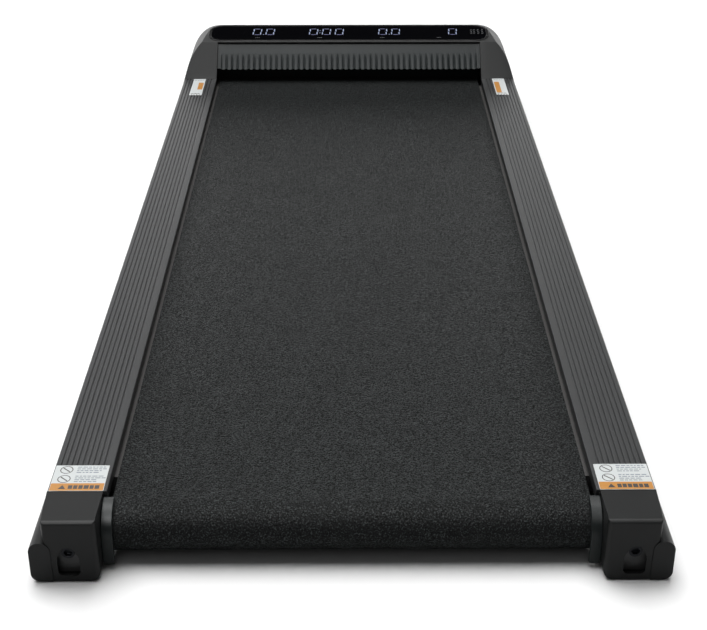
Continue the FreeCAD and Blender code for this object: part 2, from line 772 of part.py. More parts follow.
motor_centre = (s.motor_y, s.motor_z)
bell = 8
can = ring("motor_can", "x", motor_centre, (s.motor_left + bell, s.motor_right - bell), s.motor_round,
           s.motor_round - s.motor_wall)
keep(can)
keep(group("motor_end_bells",
           ring("drive_bell", "x", motor_centre, (s.motor_left, s.motor_left + bell),
                s.motor_round - 1, s.shaft_round + s.running_gap),
           ring("fan_bell", "x", motor_centre, (s.motor_right - bell, s.motor_right),
                s.motor_round - 1, s.shaft_round + s.running_gap)))
armature_left = s.motor_left + 35
armature_right = s.motor_right - 35
keep(turned("motor_armature", motor_centre,
            [(-s.pulley_outer - 3, 0), (s.motor_right + 20, 0), (s.motor_right + 20, s.shaft_round),
             (armature_right, s.shaft_round), (armature_right, s.motor_round - 10),
             (armature_left, s.motor_round - 10), (armature_left, s.shaft_round),
             (-s.pulley_outer - 3, s.shaft_round)]))
keep(turned("motor_pulley", motor_centre,
            [(-s.pulley_outer, s.shaft_round), (-s.pulley_inner + 2, s.shaft_round),
             (-s.pulley_inner + 2, s.motor_pulley + 2), (-s.pulley_inner, s.motor_pulley + 2),
             (-s.pulley_inner, s.motor_pulley), (-s.pulley_outer, s.motor_pulley)]))
fan_left = s.motor_right + 5
fan_right = s.motor_right + 17
fan_hub = ring("fan_hub", "x", motor_centre, (fan_left, fan_right), 10, s.shaft_round)
blades = []
for number in range(8):
    blade = box("fan_blade_%d" % number, (0, fan_right - fan_left), (9, s.motor_round - 6), (-1, 1))
    bind(blade, "Placement.Base.x", fan_left)
    turn = Rotation(Vector(1, 0, 0), number * 45)
    offset = turn.multVec(Vector(0, 9, -1))
    blade.Placement = FreeCAD.Placement(Vector(0, offset.y, offset.z), turn)
    bind(blade, "Placement.Base.y", s.motor_y + offset.y)
    bind(blade, "Placement.Base.z", s.motor_z + offset.z)
    blades.append(blade)
keep(fuse("cooling_fan", fan_hub, *blades))

pan_seats = [screw("pan_screw_%d" % number, "z", (180, y), s.pan_low, s.plate_high, 4, 1.2, 2)
             for number, y in enumerate((565, 630), 1)]
saddle_left = box("saddle_left", (s.motor_left + 15, s.motor_left + 35), (570, 630), (s.plate_high, 30))
saddle_right = box("saddle_right", (s.motor_right - 35, s.motor_right - 15), (570, 630), (s.plate_high, 30))
can_space = rod("can_space", "x", motor_centre, (s.motor_left, s.motor_right), s.motor_round)
keep(cut("motor_cradle", group("motor_saddles", saddle_left, saddle_right), can_space))


def loop_outline(first, second, first_round, second_round):
    """The line of a belt round two pulleys, as a wire in the plane x = 0."""
    span = second - first
    lean = math.atan2(span.z, span.y)
    open_angle = math.acos((first_round - second_round) / span.Length)
    corners = {}
    for name, centre, size in (("first", first, first_round), ("second", second, second_round)):
        for side in (1, -1):
            angle = lean + side * open_angle
            corners[name, side] = centre + Vector(0, math.cos(angle), math.sin(angle)) * size
    ahead = Vector(0, math.cos(lean), math.sin(lean))
    return Part.Wire([
        Part.LineSegment(corners["first", 1], corners["second", 1]).toShape(),
        Part.Arc(corners["second", 1], second + ahead * second_round, corners["second", -1]).toShape(),
        Part.LineSegment(corners["second", -1], corners["first", -1]).toShape(),
        Part.Arc(corners["first", -1], first - ahead * first_round, corners["first", 1]).toShape()])


first = Vector(0, SIZES["front_axis"], SIZES["roller_z"])
second = Vector(0, SIZES["motor_y"], SIZES["motor_z"])
outlines = []
for extra in (SIZES["free_gap"], SIZES["free_gap"] + SIZES["drive_thick"]):
    outlines.append(loop_outline(first, second, SIZES["roller_pulley"] + extra,
                                 SIZES["motor_pulley"] + extra))
flat = Part.Face(outlines[1]).cut(Part.Face(outlines[0]))
drive_belt = doc.addObject("Part::Feature", "drive_belt")
drive_width = SIZES["pulley_outer"] - SIZES["pulley_inner"] - 2
drive_belt.Shape = flat.extrude(Vector(drive_width, 0, 0))
drive_belt.Placement = FreeCAD.Placement(Vector(1 - SIZES["pulley_outer"], 0, 0), Rotation())
keep(drive_belt)

# ---------------------------------------------------------------- motor plate, belly pan, electronics

standoffs = [rod("standoff_%d" % number, "z", centre, (s.plate_high, s.plate_high + 5), 3)
             for number, centre in enumerate(((25, 570), (195, 570), (25, 632), (195, 632)), 1)]
keep(group("board_standoffs", *standoffs))
board_low = s.plate_high + 5
board_high = board_low + s.board_thick
keep(box("controller_board", (15, 205), (562, 640), (board_low, board_high)))
fins = [box("fin_gap_%d" % number, (33 + number * 8, 37 + number * 8), (564, 601), (board_high + 5, 46))
        for number in range(9)]
keep(cut("heat_sink", box("heat_sink_blank", (29, 109), (565, 600), (board_high, 45)), *fins))
keep(group("capacitors", rod("capacitor_1", "z", (135, 585), (board_high, 50), 11),
           rod("capacitor_2", "z", (165, 585), (board_high, 50), 11)))

plate = box("motor_plate_blank", (-s.tube_inner, s.tube_inner), (s.plate_rear, s.plate_front),
            (s.plate_low, s.plate_high))
pan_screws = both_sides("pan_screws", *pan_seats)
keep(cut("motor_plate", plate, pan_screws))
pan_corner = s.hood_corner - 1
pan = prism("pan_blank", "XY", (s.pan_low, s.hood_low),
            [(-s.pan_half, s.plate_rear), (s.pan_half, s.plate_rear),
             (s.pan_half, s.pan_front - pan_corner, pan_corner), (s.pan_half - pan_corner, s.pan_front),
             (pan_corner - s.pan_half, s.pan_front, pan_corner),
             (-s.pan_half, s.pan_front - pan_corner)])
wheel_window = box("wheel_window", (s.fork_inner - 3, s.fork_outer + 3), (s.tube_front - 3, s.plate_front + 2),
                   (s.pan_low - 1, s.hood_low + 1))
keep(cut("belly_pan", pan, both_sides("wheel_windows", wheel_window), pan_screws))

# ---------------------------------------------------------------- hood

lean = math.radians(SIZES["display_lean"])
top_rise = (s.hood_top_y - s.hood_edge_y) * math.tan(lean)


def hood_form(name, inset):
    """The hood's outer form, or its hollow, as what three outlines have in common."""
    rear = s.rail_front - (s.hood_side_y if inset else 0)
    low = s.hood_low - (s.hood_side_y if inset else 0)
    drop = inset * 1.4
    slope_rear = s.rail_top - drop - (s.hood_side_y * 0.96 if inset else 0)
    edge_z = s.hood_edge_z - inset * 1.1
    top_z = s.hood_edge_z + top_rise - inset
    nose = s.half_length - inset
    side = prism(name + "_side", "YZ", (-s.bead_outer, s.bead_outer),
                 [(rear, low), (nose, low), (nose, s.hood_nose_z, s.hood_nose_round),
                  (s.hood_top_y + inset, top_z), (s.hood_edge_y + inset * 0.3, edge_z),
                  (rear, slope_rear)])
    hip = s.bead_outer - inset
    flank = s.rail_outer - inset
    shoulder = s.hood_flank_x - inset
    crown = s.hood_crown_x - inset
    bend = s.hood_flank_round
    front = prism(name + "_front", "XZ", (rear, s.half_length),
                  [(-hip, low), (hip, low), (hip, s.hood_hip_z), (flank, s.rail_top),
                   (shoulder, s.hood_flank_z, bend), (crown, s.hood_crown_z), (-crown, s.hood_crown_z, bend),
                   (-shoulder, s.hood_flank_z), (-flank, s.rail_top), (-hip, s.hood_hip_z)])
    corner = s.hood_corner - inset
    plan = prism(name + "_plan", "XY", (low, s.hood_crown_z),
                 [(-hip, rear), (hip, rear), (hip, nose - corner, corner), (hip - corner, nose),
                  (corner - hip, nose, corner), (-hip, nose - corner)])
    return common(name, side, front, plan)


walls = box("mouth_walls", (s.mouth_half, s.mouth_half + s.hood_shell), (s.rail_front - 9, s.mouth_y + 3),
            (s.mouth_wall_z, s.hood_crown_z))
hollow = cut("hood_hollow_trimmed", hood_form("hood_hollow", s.hood_shell), both_sides("mouth_cheeks", walls))
mouth = box("hood_mouth", (-s.mouth_half, s.mouth_half), (s.rail_front - 9, s.mouth_y), (-5, s.mouth_z))


def leaned(piece, place, angle, rise=0):
    """Lays a piece drawn flat on a slope that starts at place (y, z)."""
    turn = Rotation(Vector(1, 0, 0), angle.value)
    shift = turn.multVec(Vector(0, 0, as_size(rise).value))
    piece.Placement = FreeCAD.Placement(Vector(), turn)
    bind(piece, "Placement.Base.y", place[0] + shift.y)
    bind(piece, "Placement.Base.z", place[1] + shift.z)
    bind(piece, "Placement.Rotation.Angle", angle)
    return piece


top_edge = (s.hood_edge_y, s.hood_edge_z)
bezel_outline = rounded((-s.bezel_half, s.bezel_half), (s.bezel_low, s.bezel_high), s.bezel_round)
lens_half = s.bezel_half - s.bezel_rim
lens_span = (s.bezel_low + s.bezel_rim, s.bezel_high - s.bezel_rim)
lens_outline = rounded((-lens_half, lens_half), lens_span, s.bezel_round - s.bezel_rim)
skirt_half = lens_half - 4
skirt_span = (lens_span[0] + 4, lens_span[1] - 4)
skirt_outline = rounded((-skirt_half, skirt_half), skirt_span, s.bezel_round - s.bezel_rim - 4)
window_half = lens_half - s.window_margin
window_span = (lens_span[0] + s.window_margin - 2, lens_span[1] - s.window_margin + 2)
window_outline = rounded((-window_half, window_half), window_span, 8)

bezel_recess = leaned(prism("bezel_recess", "XY", (-s.bezel_sink, 20), bezel_outline), top_edge,
                      s.display_lean)
skirt_window = leaned(prism("skirt_window", "XY", (-20, 5), skirt_outline), top_edge, s.display_lean)

face_in = s.half_length - s.flange_sink


def face_box(name, x, half, high, span):
    return box(name, (x - half, x + half), span, (s.socket_z - high, s.socket_z + high))


through = (s.half_length - s.hood_shell - 1, s.half_length + 1)
face_cuts = [
    face_box("inlet_recess", s.inlet_x, s.inlet_flange_half, s.inlet_flange_high,
             (face_in, s.half_length + 1)),
    face_box("inlet_cutout", s.inlet_x, s.inlet_half, s.inlet_high, through),
    face_box("rocker_recess", s.rocker_x, s.rocker_frame_half, s.rocker_frame_high,
             (face_in, s.half_length + 1)),
    face_box("rocker_cutout", s.rocker_x, s.rocker_frame_half - 1, s.rocker_frame_high - 1, through),
    rod("breaker_cutout", "y", (s.breaker_x, s.socket_z), through, s.breaker_round)]
keep(cut("hood_shell", hood_form("hood_outer", 0), hollow, mouth, bezel_recess, skirt_window, *face_cuts))

panel = prism("panel_face", "XY", (-s.panel_thick, 0),
              rectangle((-s.mouth_half, s.mouth_half), (0, s.panel_long)))
rib_x = -(s.panel_rib_pitch * (s.panel_rib_count - 1) / 2)
rib_arc = (s.panel_rib_half * s.panel_rib_half + s.panel_rib_high * s.panel_rib_high) / (s.panel_rib_high * 2)
rib = add(panel, "panel_rib", "XZ", (0.6, s.panel_rib_long),
          [(rib_x - s.panel_rib_half, -0.3), (rib_x + s.panel_rib_half, -0.3),
           (rib_x + s.panel_rib_half, 0, rib_arc), (rib_x, s.panel_rib_high, rib_arc),
           (rib_x - s.panel_rib_half, 0)])
repeat(panel, "panel_ribs", rib, "H_Axis", s.panel_rib_count, s.panel_rib_pitch)
leaned(panel, (s.panel_y, s.panel_z), s.panel_lean)
bulkhead = box("panel_bulkhead", (-s.mouth_half, s.mouth_half), (s.mouth_y + 0.7, s.mouth_y + 2.7),
               (s.plate_high, s.mouth_z - 1.5))
keep(fuse("ribbed_panel", panel, bulkhead))

# ---------------------------------------------------------------- display

bezel = prism("display_bezel", "XY", (-s.bezel_sink, s.bezel_proud), bezel_outline)
add(bezel, "bezel_skirt_pad", "XY", (-s.bezel_skirt, -s.bezel_sink + 0.2), skirt_outline)
pocket(bezel, "lens_seat", "XY", (s.bezel_proud - s.lens_thick, s.bezel_proud + 1), lens_outline)
pocket(bezel, "bezel_window", "XY", (-s.bezel_skirt - 1, s.bezel_proud), window_outline)
keep(leaned(bezel, top_edge, s.display_lean))
lens = prism("display_lens", "XY", (s.bezel_proud - s.lens_thick, s.bezel_proud), lens_outline)
keep(leaned(lens, top_edge, s.display_lean))
board_top = -s.bezel_skirt
display_board = prism("display_board", "XY", (board_top - s.board_thick, board_top),
                      rectangle((-skirt_half + 4, skirt_half - 4), (skirt_span[0] + 2, skirt_span[1] - 2)))
keep(leaned(display_board, top_edge, s.display_lean))
modules = []
for name, centre, digits in (("speed", -133, 2), ("time", -35, 3), ("distance", 63, 2), ("step", 162.5, 1)):
    half = (s.digit_gap * (digits - 1) + s.digit_wide) / 2 + 2
    module = prism("digits_" + name, "XY", (board_top, -s.digit_top),
                   rectangle((centre - half, centre + half), (s.digit_low, s.digit_high)))
    modules.append(leaned(module, top_edge, s.display_lean))
keep(group("digit_modules", *modules))
eye = prism("remote_receiver", "XY", (board_top, -s.digit_top - 1), slot_across(196, 200, 35, as_size(3)))
keep(leaned(eye, top_edge, s.display_lean))

# ---------------------------------------------------------------- sockets and switches

inlet_back = s.half_length - s.inlet_deep
housing = fuse("inlet_blank",
               face_box("inlet_flange", s.inlet_x, s.inlet_flange_half, s.inlet_flange_high,
                        (face_in, s.half_length)),
               face_box("inlet_body", s.inlet_x, s.inlet_half, s.inlet_high, (inlet_back - 4, face_in)))
inlet_mouth = face_box("inlet_mouth", s.inlet_x, s.inlet_mouth_half, s.inlet_mouth_high,
                       (inlet_back, s.half_length + 1))
pins = [box("inlet_pin_%d" % number, (s.inlet_x + x - 1, s.inlet_x + x + 1),
            (inlet_back - 9, inlet_back + 12), (s.socket_z + z - 2, s.socket_z + z + 2))
        for number, (x, z) in enumerate(((-7, -2), (0, 2), (7, -2)), 1)]
pins = keep(group("inlet_pins", *pins))
keep(cut("power_inlet", housing, inlet_mouth, pins))

rocker_back = s.rocker_pivot - 6
frame = fuse("rocker_frame_blank",
             face_box("rocker_flange", s.rocker_x, s.rocker_frame_half, s.rocker_frame_high,
                      (face_in, s.half_length)),
             face_box("rocker_case", s.rocker_x, s.rocker_frame_half - 1, s.rocker_frame_high - 1,
                      (rocker_back - 3, face_in)))
rocker_half_high = s.rocker_frame_high - 2.5
rocker_well = face_box("rocker_well", s.rocker_x, s.rocker_frame_half - 1.9, rocker_half_high + s.free_gap,
                       (rocker_back, s.half_length + 1))
pivot_hole = rod("pivot_hole", "z", (s.rocker_x, s.rocker_pivot),
                 (s.socket_z - s.rocker_frame_high, s.socket_z + s.rocker_frame_high), 1.2 + s.running_gap)
keep(cut("switch_housing", frame, rocker_well, pivot_hole))
paddle = prism("rocker_paddle", "XY", (s.socket_z - rocker_half_high, s.socket_z + rocker_half_high),
               [(-7.2, -3), (7.2, -3), (7.2, 6), (0, 4.6), (-7.2, 6)])
pivot = rod("rocker_pivot_pin", "z", (0, 0),
            (s.socket_z - s.rocker_frame_high + 1.2, s.socket_z + s.rocker_frame_high - 1.2), 1.2)
rocker = fuse("power_switch", paddle, pivot)
rocker.Placement = FreeCAD.Placement(Vector(), Rotation(Vector(0, 0, 1), -SIZES["rocker_lean"]))
bind(rocker, "Placement.Base.x", s.rocker_x)
bind(rocker, "Placement.Base.y", s.rocker_pivot)
keep(rocker)

breaker_centre = (s.breaker_x, s.socket_z)
bushing = fuse("breaker_blank",
               rod("breaker_bushing", "y", breaker_centre, (s.breaker_face - 23, s.breaker_face), s.breaker_round),
               rod("breaker_collar", "y", breaker_centre,
                   (s.half_length - s.hood_shell - 4, s.half_length - s.hood_shell), s.breaker_round + 3))
breaker_bore = rod("breaker_bore", "y", breaker_centre, (s.breaker_face - 20, s.breaker_face + 1),
                   s.breaker_button + s.running_gap)
keep(cut("breaker_body", bushing, breaker_bore))
keep(rod("breaker_button", "y", breaker_centre, (s.breaker_face - 16, s.half_length), s.breaker_button))

# ---------------------------------------------------------------- wiring inside the hood


def lead(name, corners, radius, bend):
    """An insulated lead: straight runs joined by tangent arcs."""
    edges = []
    here = corners[0]
    for before, corner, after in zip(corners, corners[1:], corners[2:]):
        into = (corner - before).normalize()
        out = (after - corner).normalize()
        trim = bend * math.tan(into.getAngle(out) / 2)
        start = corner - into * trim
        end = corner + out * trim
        bulge = (out - into).normalize()
        centre = corner + bulge * (bend / math.cos(into.getAngle(out) / 2))
        edges.append(Part.LineSegment(here, start).toShape())
        edges.append(Part.Arc(start, centre - bulge * bend, end).toShape())
        here = end
    edges.append(Part.LineSegment(here, corners[-1]).toShape())
    path = Part.Wire(edges)
    across = (corners[1] - corners[0]).normalize()
    section = Part.Wire(Part.makeCircle(radius, corners[0], across))
    made = doc.addObject("Part::Feature", name)
    made.Shape = path.makePipeShell([section], True, True)
    expected = math.pi * radius ** 2 * path.Length
    if abs(made.Shape.Volume - expected) > 0.02 * expected:
        raise ValueError("%s is not a clean tube" % name)
    return made


board_face = SIZES["plate_high"] + 5 + SIZES["board_thick"]
can_top = SIZES["motor_z"] + SIZES["motor_round"]
leads = [
    lead("motor_lead_red", [Vector(-70, 600, can_top), Vector(-70, 600, 97), Vector(118, 600, 97),
                            Vector(118, 620, 60), Vector(118, 620, board_face)], 1.6, 6),
    lead("motor_lead_black", [Vector(-78, 606, can_top), Vector(-78, 606, 97), Vector(124, 606, 97),
                              Vector(124, 626, 60), Vector(124, 626, board_face)], 1.6, 6),
    lead("display_lead", [Vector(60, 583, 99.5), Vector(60, 583, 80), Vector(116, 583, 62),
                          Vector(116, 583, board_face)], 1.6, 6)]
keep(group("wiring_loom", *leads))

# ---------------------------------------------------------------- wheels, feet, screws and labels

fork = cut("fork",
           box("fork_blank", (s.fork_inner, s.fork_outer), (s.tube_front, s.fork_front),
               (s.fork_low, s.fork_high)),
           box("fork_space", (s.fork_inner + s.fork_plate, s.fork_outer - s.fork_plate),
               (s.tube_front + s.fork_plate, s.fork_front + 1),
               (s.fork_low - 1, s.fork_high - s.fork_plate)),
           rod("fork_bore", "x", (s.wheel_y, s.wheel_z), (s.fork_inner - 1, s.fork_outer + 1), 4))
keep(both_sides("wheel_forks", fork))
wheel_bolt = screw("wheel_bolt", "x", (s.wheel_y, s.wheel_z), s.fork_outer, s.fork_inner - 0.5, 7, 3, 4)
keep(both_sides("wheel_bolts", wheel_bolt))
tyre = s.wheel_round
right_wheel = keep(turned("wheel_right", (s.wheel_y, s.wheel_z),
                          [(s.wheel_inner, 4 + s.running_gap), (s.wheel_outer, 4 + s.running_gap),
                           (s.wheel_outer, 9), (s.wheel_outer - 4, 9), (s.wheel_outer - 4, 14),
                           (s.wheel_outer, 14), (s.wheel_outer, tyre - 2, 2), (s.wheel_outer - 2, tyre),
                           (s.wheel_inner + 2, tyre, 2), (s.wheel_inner, tyre - 2), (s.wheel_inner, 14),
                           (s.wheel_inner + 4, 14), (s.wheel_inner + 4, 9), (s.wheel_inner, 9)]))
keep(mirror("wheel_left", right_wheel))

feet = [prism("foot_" + name, "XY", (0, top), slot_up(x, y - 10, y + 10, as_size(8.5)))
        for name, x, y, top in (("rear", 249, -627, s.cap_low), ("middle", 247.5, 0, rail_seat),
                                ("front", 247.5, 480, rail_seat))]
keep(both_sides("rubber_feet", *feet))
keep(both_sides("cover_screws", cap_screw, *rail_screws, *pan_seats))
keep(group("front_axle_bolts", axle_bolts))

label_rear = s.rail_rear
label = box("rear_label", (s.label_inner, s.label_outer), (label_rear, label_rear + s.label_long),
            (s.rail_top, s.rail_top + s.label_thick))
keep(both_sides("rear_labels", label))
small_label = box("front_label", (s.small_label_inner, s.small_label_outer),
                  (s.rail_front - s.small_label_long, s.rail_front), (s.rail_top, s.rail_top + s.label_thick))
keep(both_sides("front_labels", small_label))

# ---------------------------------------------------------------- check and write

doc.recompute()
for item in doc.Objects:
    if "Invalid" in item.State or "Error" in item.State:
        raise RuntimeError("%s failed: %s" % (item.Label, item.State))
os.makedirs("parts", exist_ok=True)
for name, piece in nodes.items():
    if piece.Shape.isNull() or not piece.Shape.isValid() or not piece.Shape.Solids:
        raise RuntimeError("%s has no valid solid" % name)
    piece.Shape.exportStep(os.path.join("parts", name + ".step"))
print("%d parts" % len(nodes))
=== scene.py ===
"""The looks of a low motorised walking pad, built round its CAD frame.  Metres, +Z up, +Y to the hood."""

import json
import math

import bmesh
import bpy
from bpy.props import FloatProperty, FloatVectorProperty, IntProperty, PointerProperty
from mathutils import Matrix, Vector


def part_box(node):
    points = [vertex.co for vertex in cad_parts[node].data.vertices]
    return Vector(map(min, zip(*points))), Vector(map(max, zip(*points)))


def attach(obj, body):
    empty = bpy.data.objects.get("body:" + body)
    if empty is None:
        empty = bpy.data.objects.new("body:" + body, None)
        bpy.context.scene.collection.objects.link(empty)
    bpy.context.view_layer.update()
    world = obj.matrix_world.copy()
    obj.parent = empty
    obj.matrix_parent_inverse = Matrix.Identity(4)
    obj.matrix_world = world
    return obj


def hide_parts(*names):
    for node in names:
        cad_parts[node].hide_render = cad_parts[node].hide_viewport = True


bl_info = {
    "name": "Walking Pad",
    "version": (1, 0, 0),
    "blender": (4, 5, 0),
    "location": "3D View > Sidebar > Walking Pad",
    "description": "Builds the looks of a walking pad treadmill round its CAD frame",
    "category": "Object",
}

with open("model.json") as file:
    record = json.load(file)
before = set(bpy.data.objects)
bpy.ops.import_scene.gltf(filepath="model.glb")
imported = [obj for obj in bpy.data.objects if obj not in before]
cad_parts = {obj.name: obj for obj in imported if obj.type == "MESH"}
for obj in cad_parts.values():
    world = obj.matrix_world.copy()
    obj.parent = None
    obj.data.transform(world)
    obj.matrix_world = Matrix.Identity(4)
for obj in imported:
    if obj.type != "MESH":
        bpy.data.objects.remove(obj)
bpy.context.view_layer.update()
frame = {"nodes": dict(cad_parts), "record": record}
MM = 0.001


def paint(code):
    """An sRGB hex colour as the linear colour that shaders take."""
    parts = [int(code[i:i + 2], 16) / 255 for i in (1, 3, 5)]
    return tuple(c / 12.92 if c <= 0.04045 else ((c + 0.055) / 1.055) ** 2.4 for c in parts)


def length(name, description, default):
    """A size in metres that a user may change."""
    return FloatProperty(name=name, description=description, default=default, unit="LENGTH",
                         precision=5)


def colour(name, description, code):
    """A colour that a user may change."""
    return FloatVectorProperty(name=name, description=description, default=paint(code),
                               subtype="COLOR", min=0.0, max=1.0)


# ------------------------------------------------------------------------------- settings


class BeltSettings(bpy.types.PropertyGroup):
    """The walking belt."""

    thickness: length("Thickness", "Belt thickness", 2.0 * MM)
    grain: length("Grain", "Width of one bump of the tread", 2.2 * MM)
    colour: colour("Colour", "Tread colour", "#161818")


class RailSettings(bpy.types.PropertyGroup):
    """The two grooved side rails."""

    wall: length("Wall", "Thickness of the extrusion", 2.5 * MM)
    tread: length("Tread width", "Width of the flat top", 50.0 * MM)
    lip: length("Lip", "How far the inner lip hangs down", 10.0 * MM)
    bead: length("Bead radius", "Radius of the round bead low on the outside", 9.0 * MM)
    bead_top: length("Bead top", "From the top down to the bead's top", 20.3 * MM)
    rib_in: length("Rib place", "From the inner edge to the rib that stands on the frame", 38.0 * MM)
    flange: length("Flange", "Width of the flange under the frame", 27.0 * MM)
    first: length("First groove", "From the inner edge to the first groove", 7.9 * MM)
    pitch: length("Groove pitch", "Distance between grooves", 4.6 * MM)
    wide: length("Groove width", "Width of one groove", 1.7 * MM)
    deep: length("Groove depth", "Depth of one groove", 0.9 * MM)
    count: IntProperty(name="Grooves", description="Number of grooves", default=9, min=1)
    colour: colour("Colour", "Anodised colour", "#262728")


class HoodSettings(bpy.types.PropertyGroup):
    """The motor hood and the ribbed panel."""

    shell: length("Shell", "Wall thickness", 3.0 * MM)
    edge_y: length("Top edge place", "Where the slope meets the top, along the pad", 550.0 * MM)
    edge_z: length("Top edge height", "Height of that edge", 104.0 * MM)
    joint_z: length("Joint height", "Height of the hood where it meets the rails", 60.0 * MM)
    crown_round: length("Flank radius", "Radius of the upper flanks", 67.0 * MM)
    crown_x: length("Flank centre", "How far out the flank radius has its centre", 187.2 * MM)
    crown_z: length("Flank centre height", "How high the flank radius has its centre", 53.0 * MM)
    nose_round: length("Nose radius", "Radius from the top to the far face", 36.0 * MM)
    corner: length("Corner radius", "Radius of the far corners in plan", 46.0 * MM)
    far: length("Top's far edge", "Where the top ends, along the pad", 613.0 * MM)
    top_corner: length("Top corner radius", "Radius of the top's far corners", 15.0 * MM)
    window_near: length("Display opening start", "Near edge, along the pad", 560.0 * MM)
    window_far: length("Display opening end", "Far edge, along the pad", 602.0 * MM)
    cheek_foot: length("Cheek foot", "Height of the foot of the shoulders' inner walls", 54.0 * MM)
    blend: length("Shoulder radius", "Rounding between slope and flank", 20.0 * MM)
    mouth: length("Mouth half width", "Half the width between the shoulders", 205.5 * MM)
    lean: FloatProperty(name="Display slope", description="Slope of the top", subtype="ANGLE",
                        default=math.radians(7.5))
    panel_y: length("Panel foot place", "Foot of the ribbed panel, along the pad", 522.0 * MM)
    panel_z: length("Panel foot height", "Height of that foot", 70.0 * MM)
    panel_long: length("Panel length", "Length of the ribbed panel up its slope", 43.5 * MM)
    panel_lean: FloatProperty(name="Panel slope", description="Slope of the ribbed panel",
                              subtype="ANGLE", default=math.radians(46))
    rib_count: IntProperty(name="Ribs", description="Number of ribs", default=46, min=1)
    rib_pitch: length("Rib pitch", "Distance between ribs", 8.7 * MM)
    rib_high: length("Rib height", "How far a rib stands out", 1.25 * MM)
    colour: colour("Colour", "Moulded plastic colour", "#252626")


class DisplaySettings(bpy.types.PropertyGroup):
    """The lit digits."""

    wide: length("Digit width", "Width of one digit", 13.4 * MM)
    high: length("Digit height", "Height of one digit", 23.5 * MM)
    stroke: length("Stroke", "Width of one bar of a digit", 1.5 * MM)
    pitch: length("Digit pitch", "Distance between digits", 20.4 * MM)
    lit: colour("Lit bars", "Colour of the side bars", "#b8c8f4")
    dim: colour("Dim bars", "Colour of the top and bottom bars", "#6a6ca8")


class LabelSettings(bpy.types.PropertyGroup):
    """The printed labels."""

    film: colour("Film", "Label film", "#c4c8c8")
    band: colour("Band", "Warm band", "#b5781a")
    ink: colour("Ink", "Dark ink", "#2a2320")
    pale_ink: colour("Pale ink", "Small print", "#6c7680")


class StageSettings(bpy.types.PropertyGroup):
    """Floor, lights and camera."""

    focal: FloatProperty(name="Focal length", description="In millimetres on a 36 mm sensor",
                         default=69.865, unit="NONE")
    pitch: FloatProperty(name="Pitch", description="How far the camera looks down",
                         subtype="ANGLE", default=math.radians(27.646))
    pan: FloatProperty(name="Pan", description="How far the camera turns to the right",
                       subtype="ANGLE", default=math.radians(0.285))
    roll: FloatProperty(name="Roll", description="Tilt of the camera about its own axis",
                        subtype="ANGLE", default=math.radians(-0.0065))
    place: FloatVectorProperty(name="Place", description="Where the camera stands",
                               subtype="TRANSLATION", unit="LENGTH", default=(-0.0033, -1.5542, 0.7229))
    floor: colour("Floor", "Studio floor", "#f4f4f4")


class PadSettings(bpy.types.PropertyGroup):
    """Everything that the panel lists."""

    belt: PointerProperty(type=BeltSettings)
    rail: PointerProperty(type=RailSettings)
    hood: PointerProperty(type=HoodSettings)
    display: PointerProperty(type=DisplaySettings)
    label: PointerProperty(type=LabelSettings)
    stage: PointerProperty(type=StageSettings)


def pad():
    """The settings of this scene."""
    return bpy.context.scene.walking_pad


# ------------------------------------------------------------------------------- node helper


def add_node(tree, kind, settings=None, values=None, links=None):
    """Adds a node with its settings, input values and links into its inputs."""
    node = tree.nodes.new(kind)
    for name, value in (settings or {}).items():
        setattr(node, name, value)
    for name, value in (values or {}).items():
        node.inputs[name].default_value = value
    for name, source in (links or {}).items():
        tree.links.new(source, node.inputs[name])
    return node


# ------------------------------------------------------------------------------- materials


def material(name, base, roughness, metallic=0.0, sheen=0.5, **shader):
    """A named material with a principled shader and its object coordinates; sheen is its mirror share."""
    made = bpy.data.materials.new(name)
    made.use_nodes = True
    tree = made.node_tree
    surface = tree.nodes["Principled BSDF"]
    values = {"Base Color": (*base, 1.0), "Roughness": roughness, "Metallic": metallic,
              "Specular IOR Level": sheen}
    values.update(shader)
    for socket, value in values.items():
        surface.inputs[socket].default_value = value
    place = add_node(tree, "ShaderNodeTexCoord").outputs["Object"]
    return made, tree, surface, place


def noise(tree, place, size, detail=2.0, stretch=None):
    """Noise whose blobs are about size metres wide, stretched along an axis where asked."""
    if stretch:
        place = add_node(tree, "ShaderNodeMapping", values={"Scale": stretch},
                         links={"Vector": place}).outputs["Vector"]
    return add_node(tree, "ShaderNodeTexNoise",
                    values={"Scale": 1.0 / size, "Detail": detail, "Roughness": 0.55},
                    links={"Vector": place}).outputs["Fac"]


def spread(tree, value, low, high, cut=(0.0, 1.0)):
    """A value carried from the range cut to the range low..high."""
    return add_node(tree, "ShaderNodeMapRange",
                    values={"From Min": cut[0], "From Max": cut[1], "To Min": low, "To Max": high},
                    links={"Value": value}).outputs["Result"]


def blend_colours(tree, factor, first, second):
    """A colour between two, by a factor."""
    return add_node(tree, "ShaderNodeMix", {"data_type": "RGBA"},
                    {"A": (*first, 1.0), "B": (*second, 1.0)}, {"Factor": factor}).outputs["Result"]


def relief(tree, surface, height, depth, below=None):
    """Bumps of a given depth in metres, on top of another relief where given."""
    bump = add_node(tree, "ShaderNodeBump", values={"Strength": 1.0, "Distance": depth},
                    links={"Height": height})
    if below:
        tree.links.new(below, bump.inputs["Normal"])
    tree.links.new(bump.outputs["Normal"], surface.inputs["Normal"])
    return bump.outputs["Normal"]


def shade(base, factor):
    """A colour made darker or lighter."""
    return tuple(min(1.0, c * factor) for c in base)


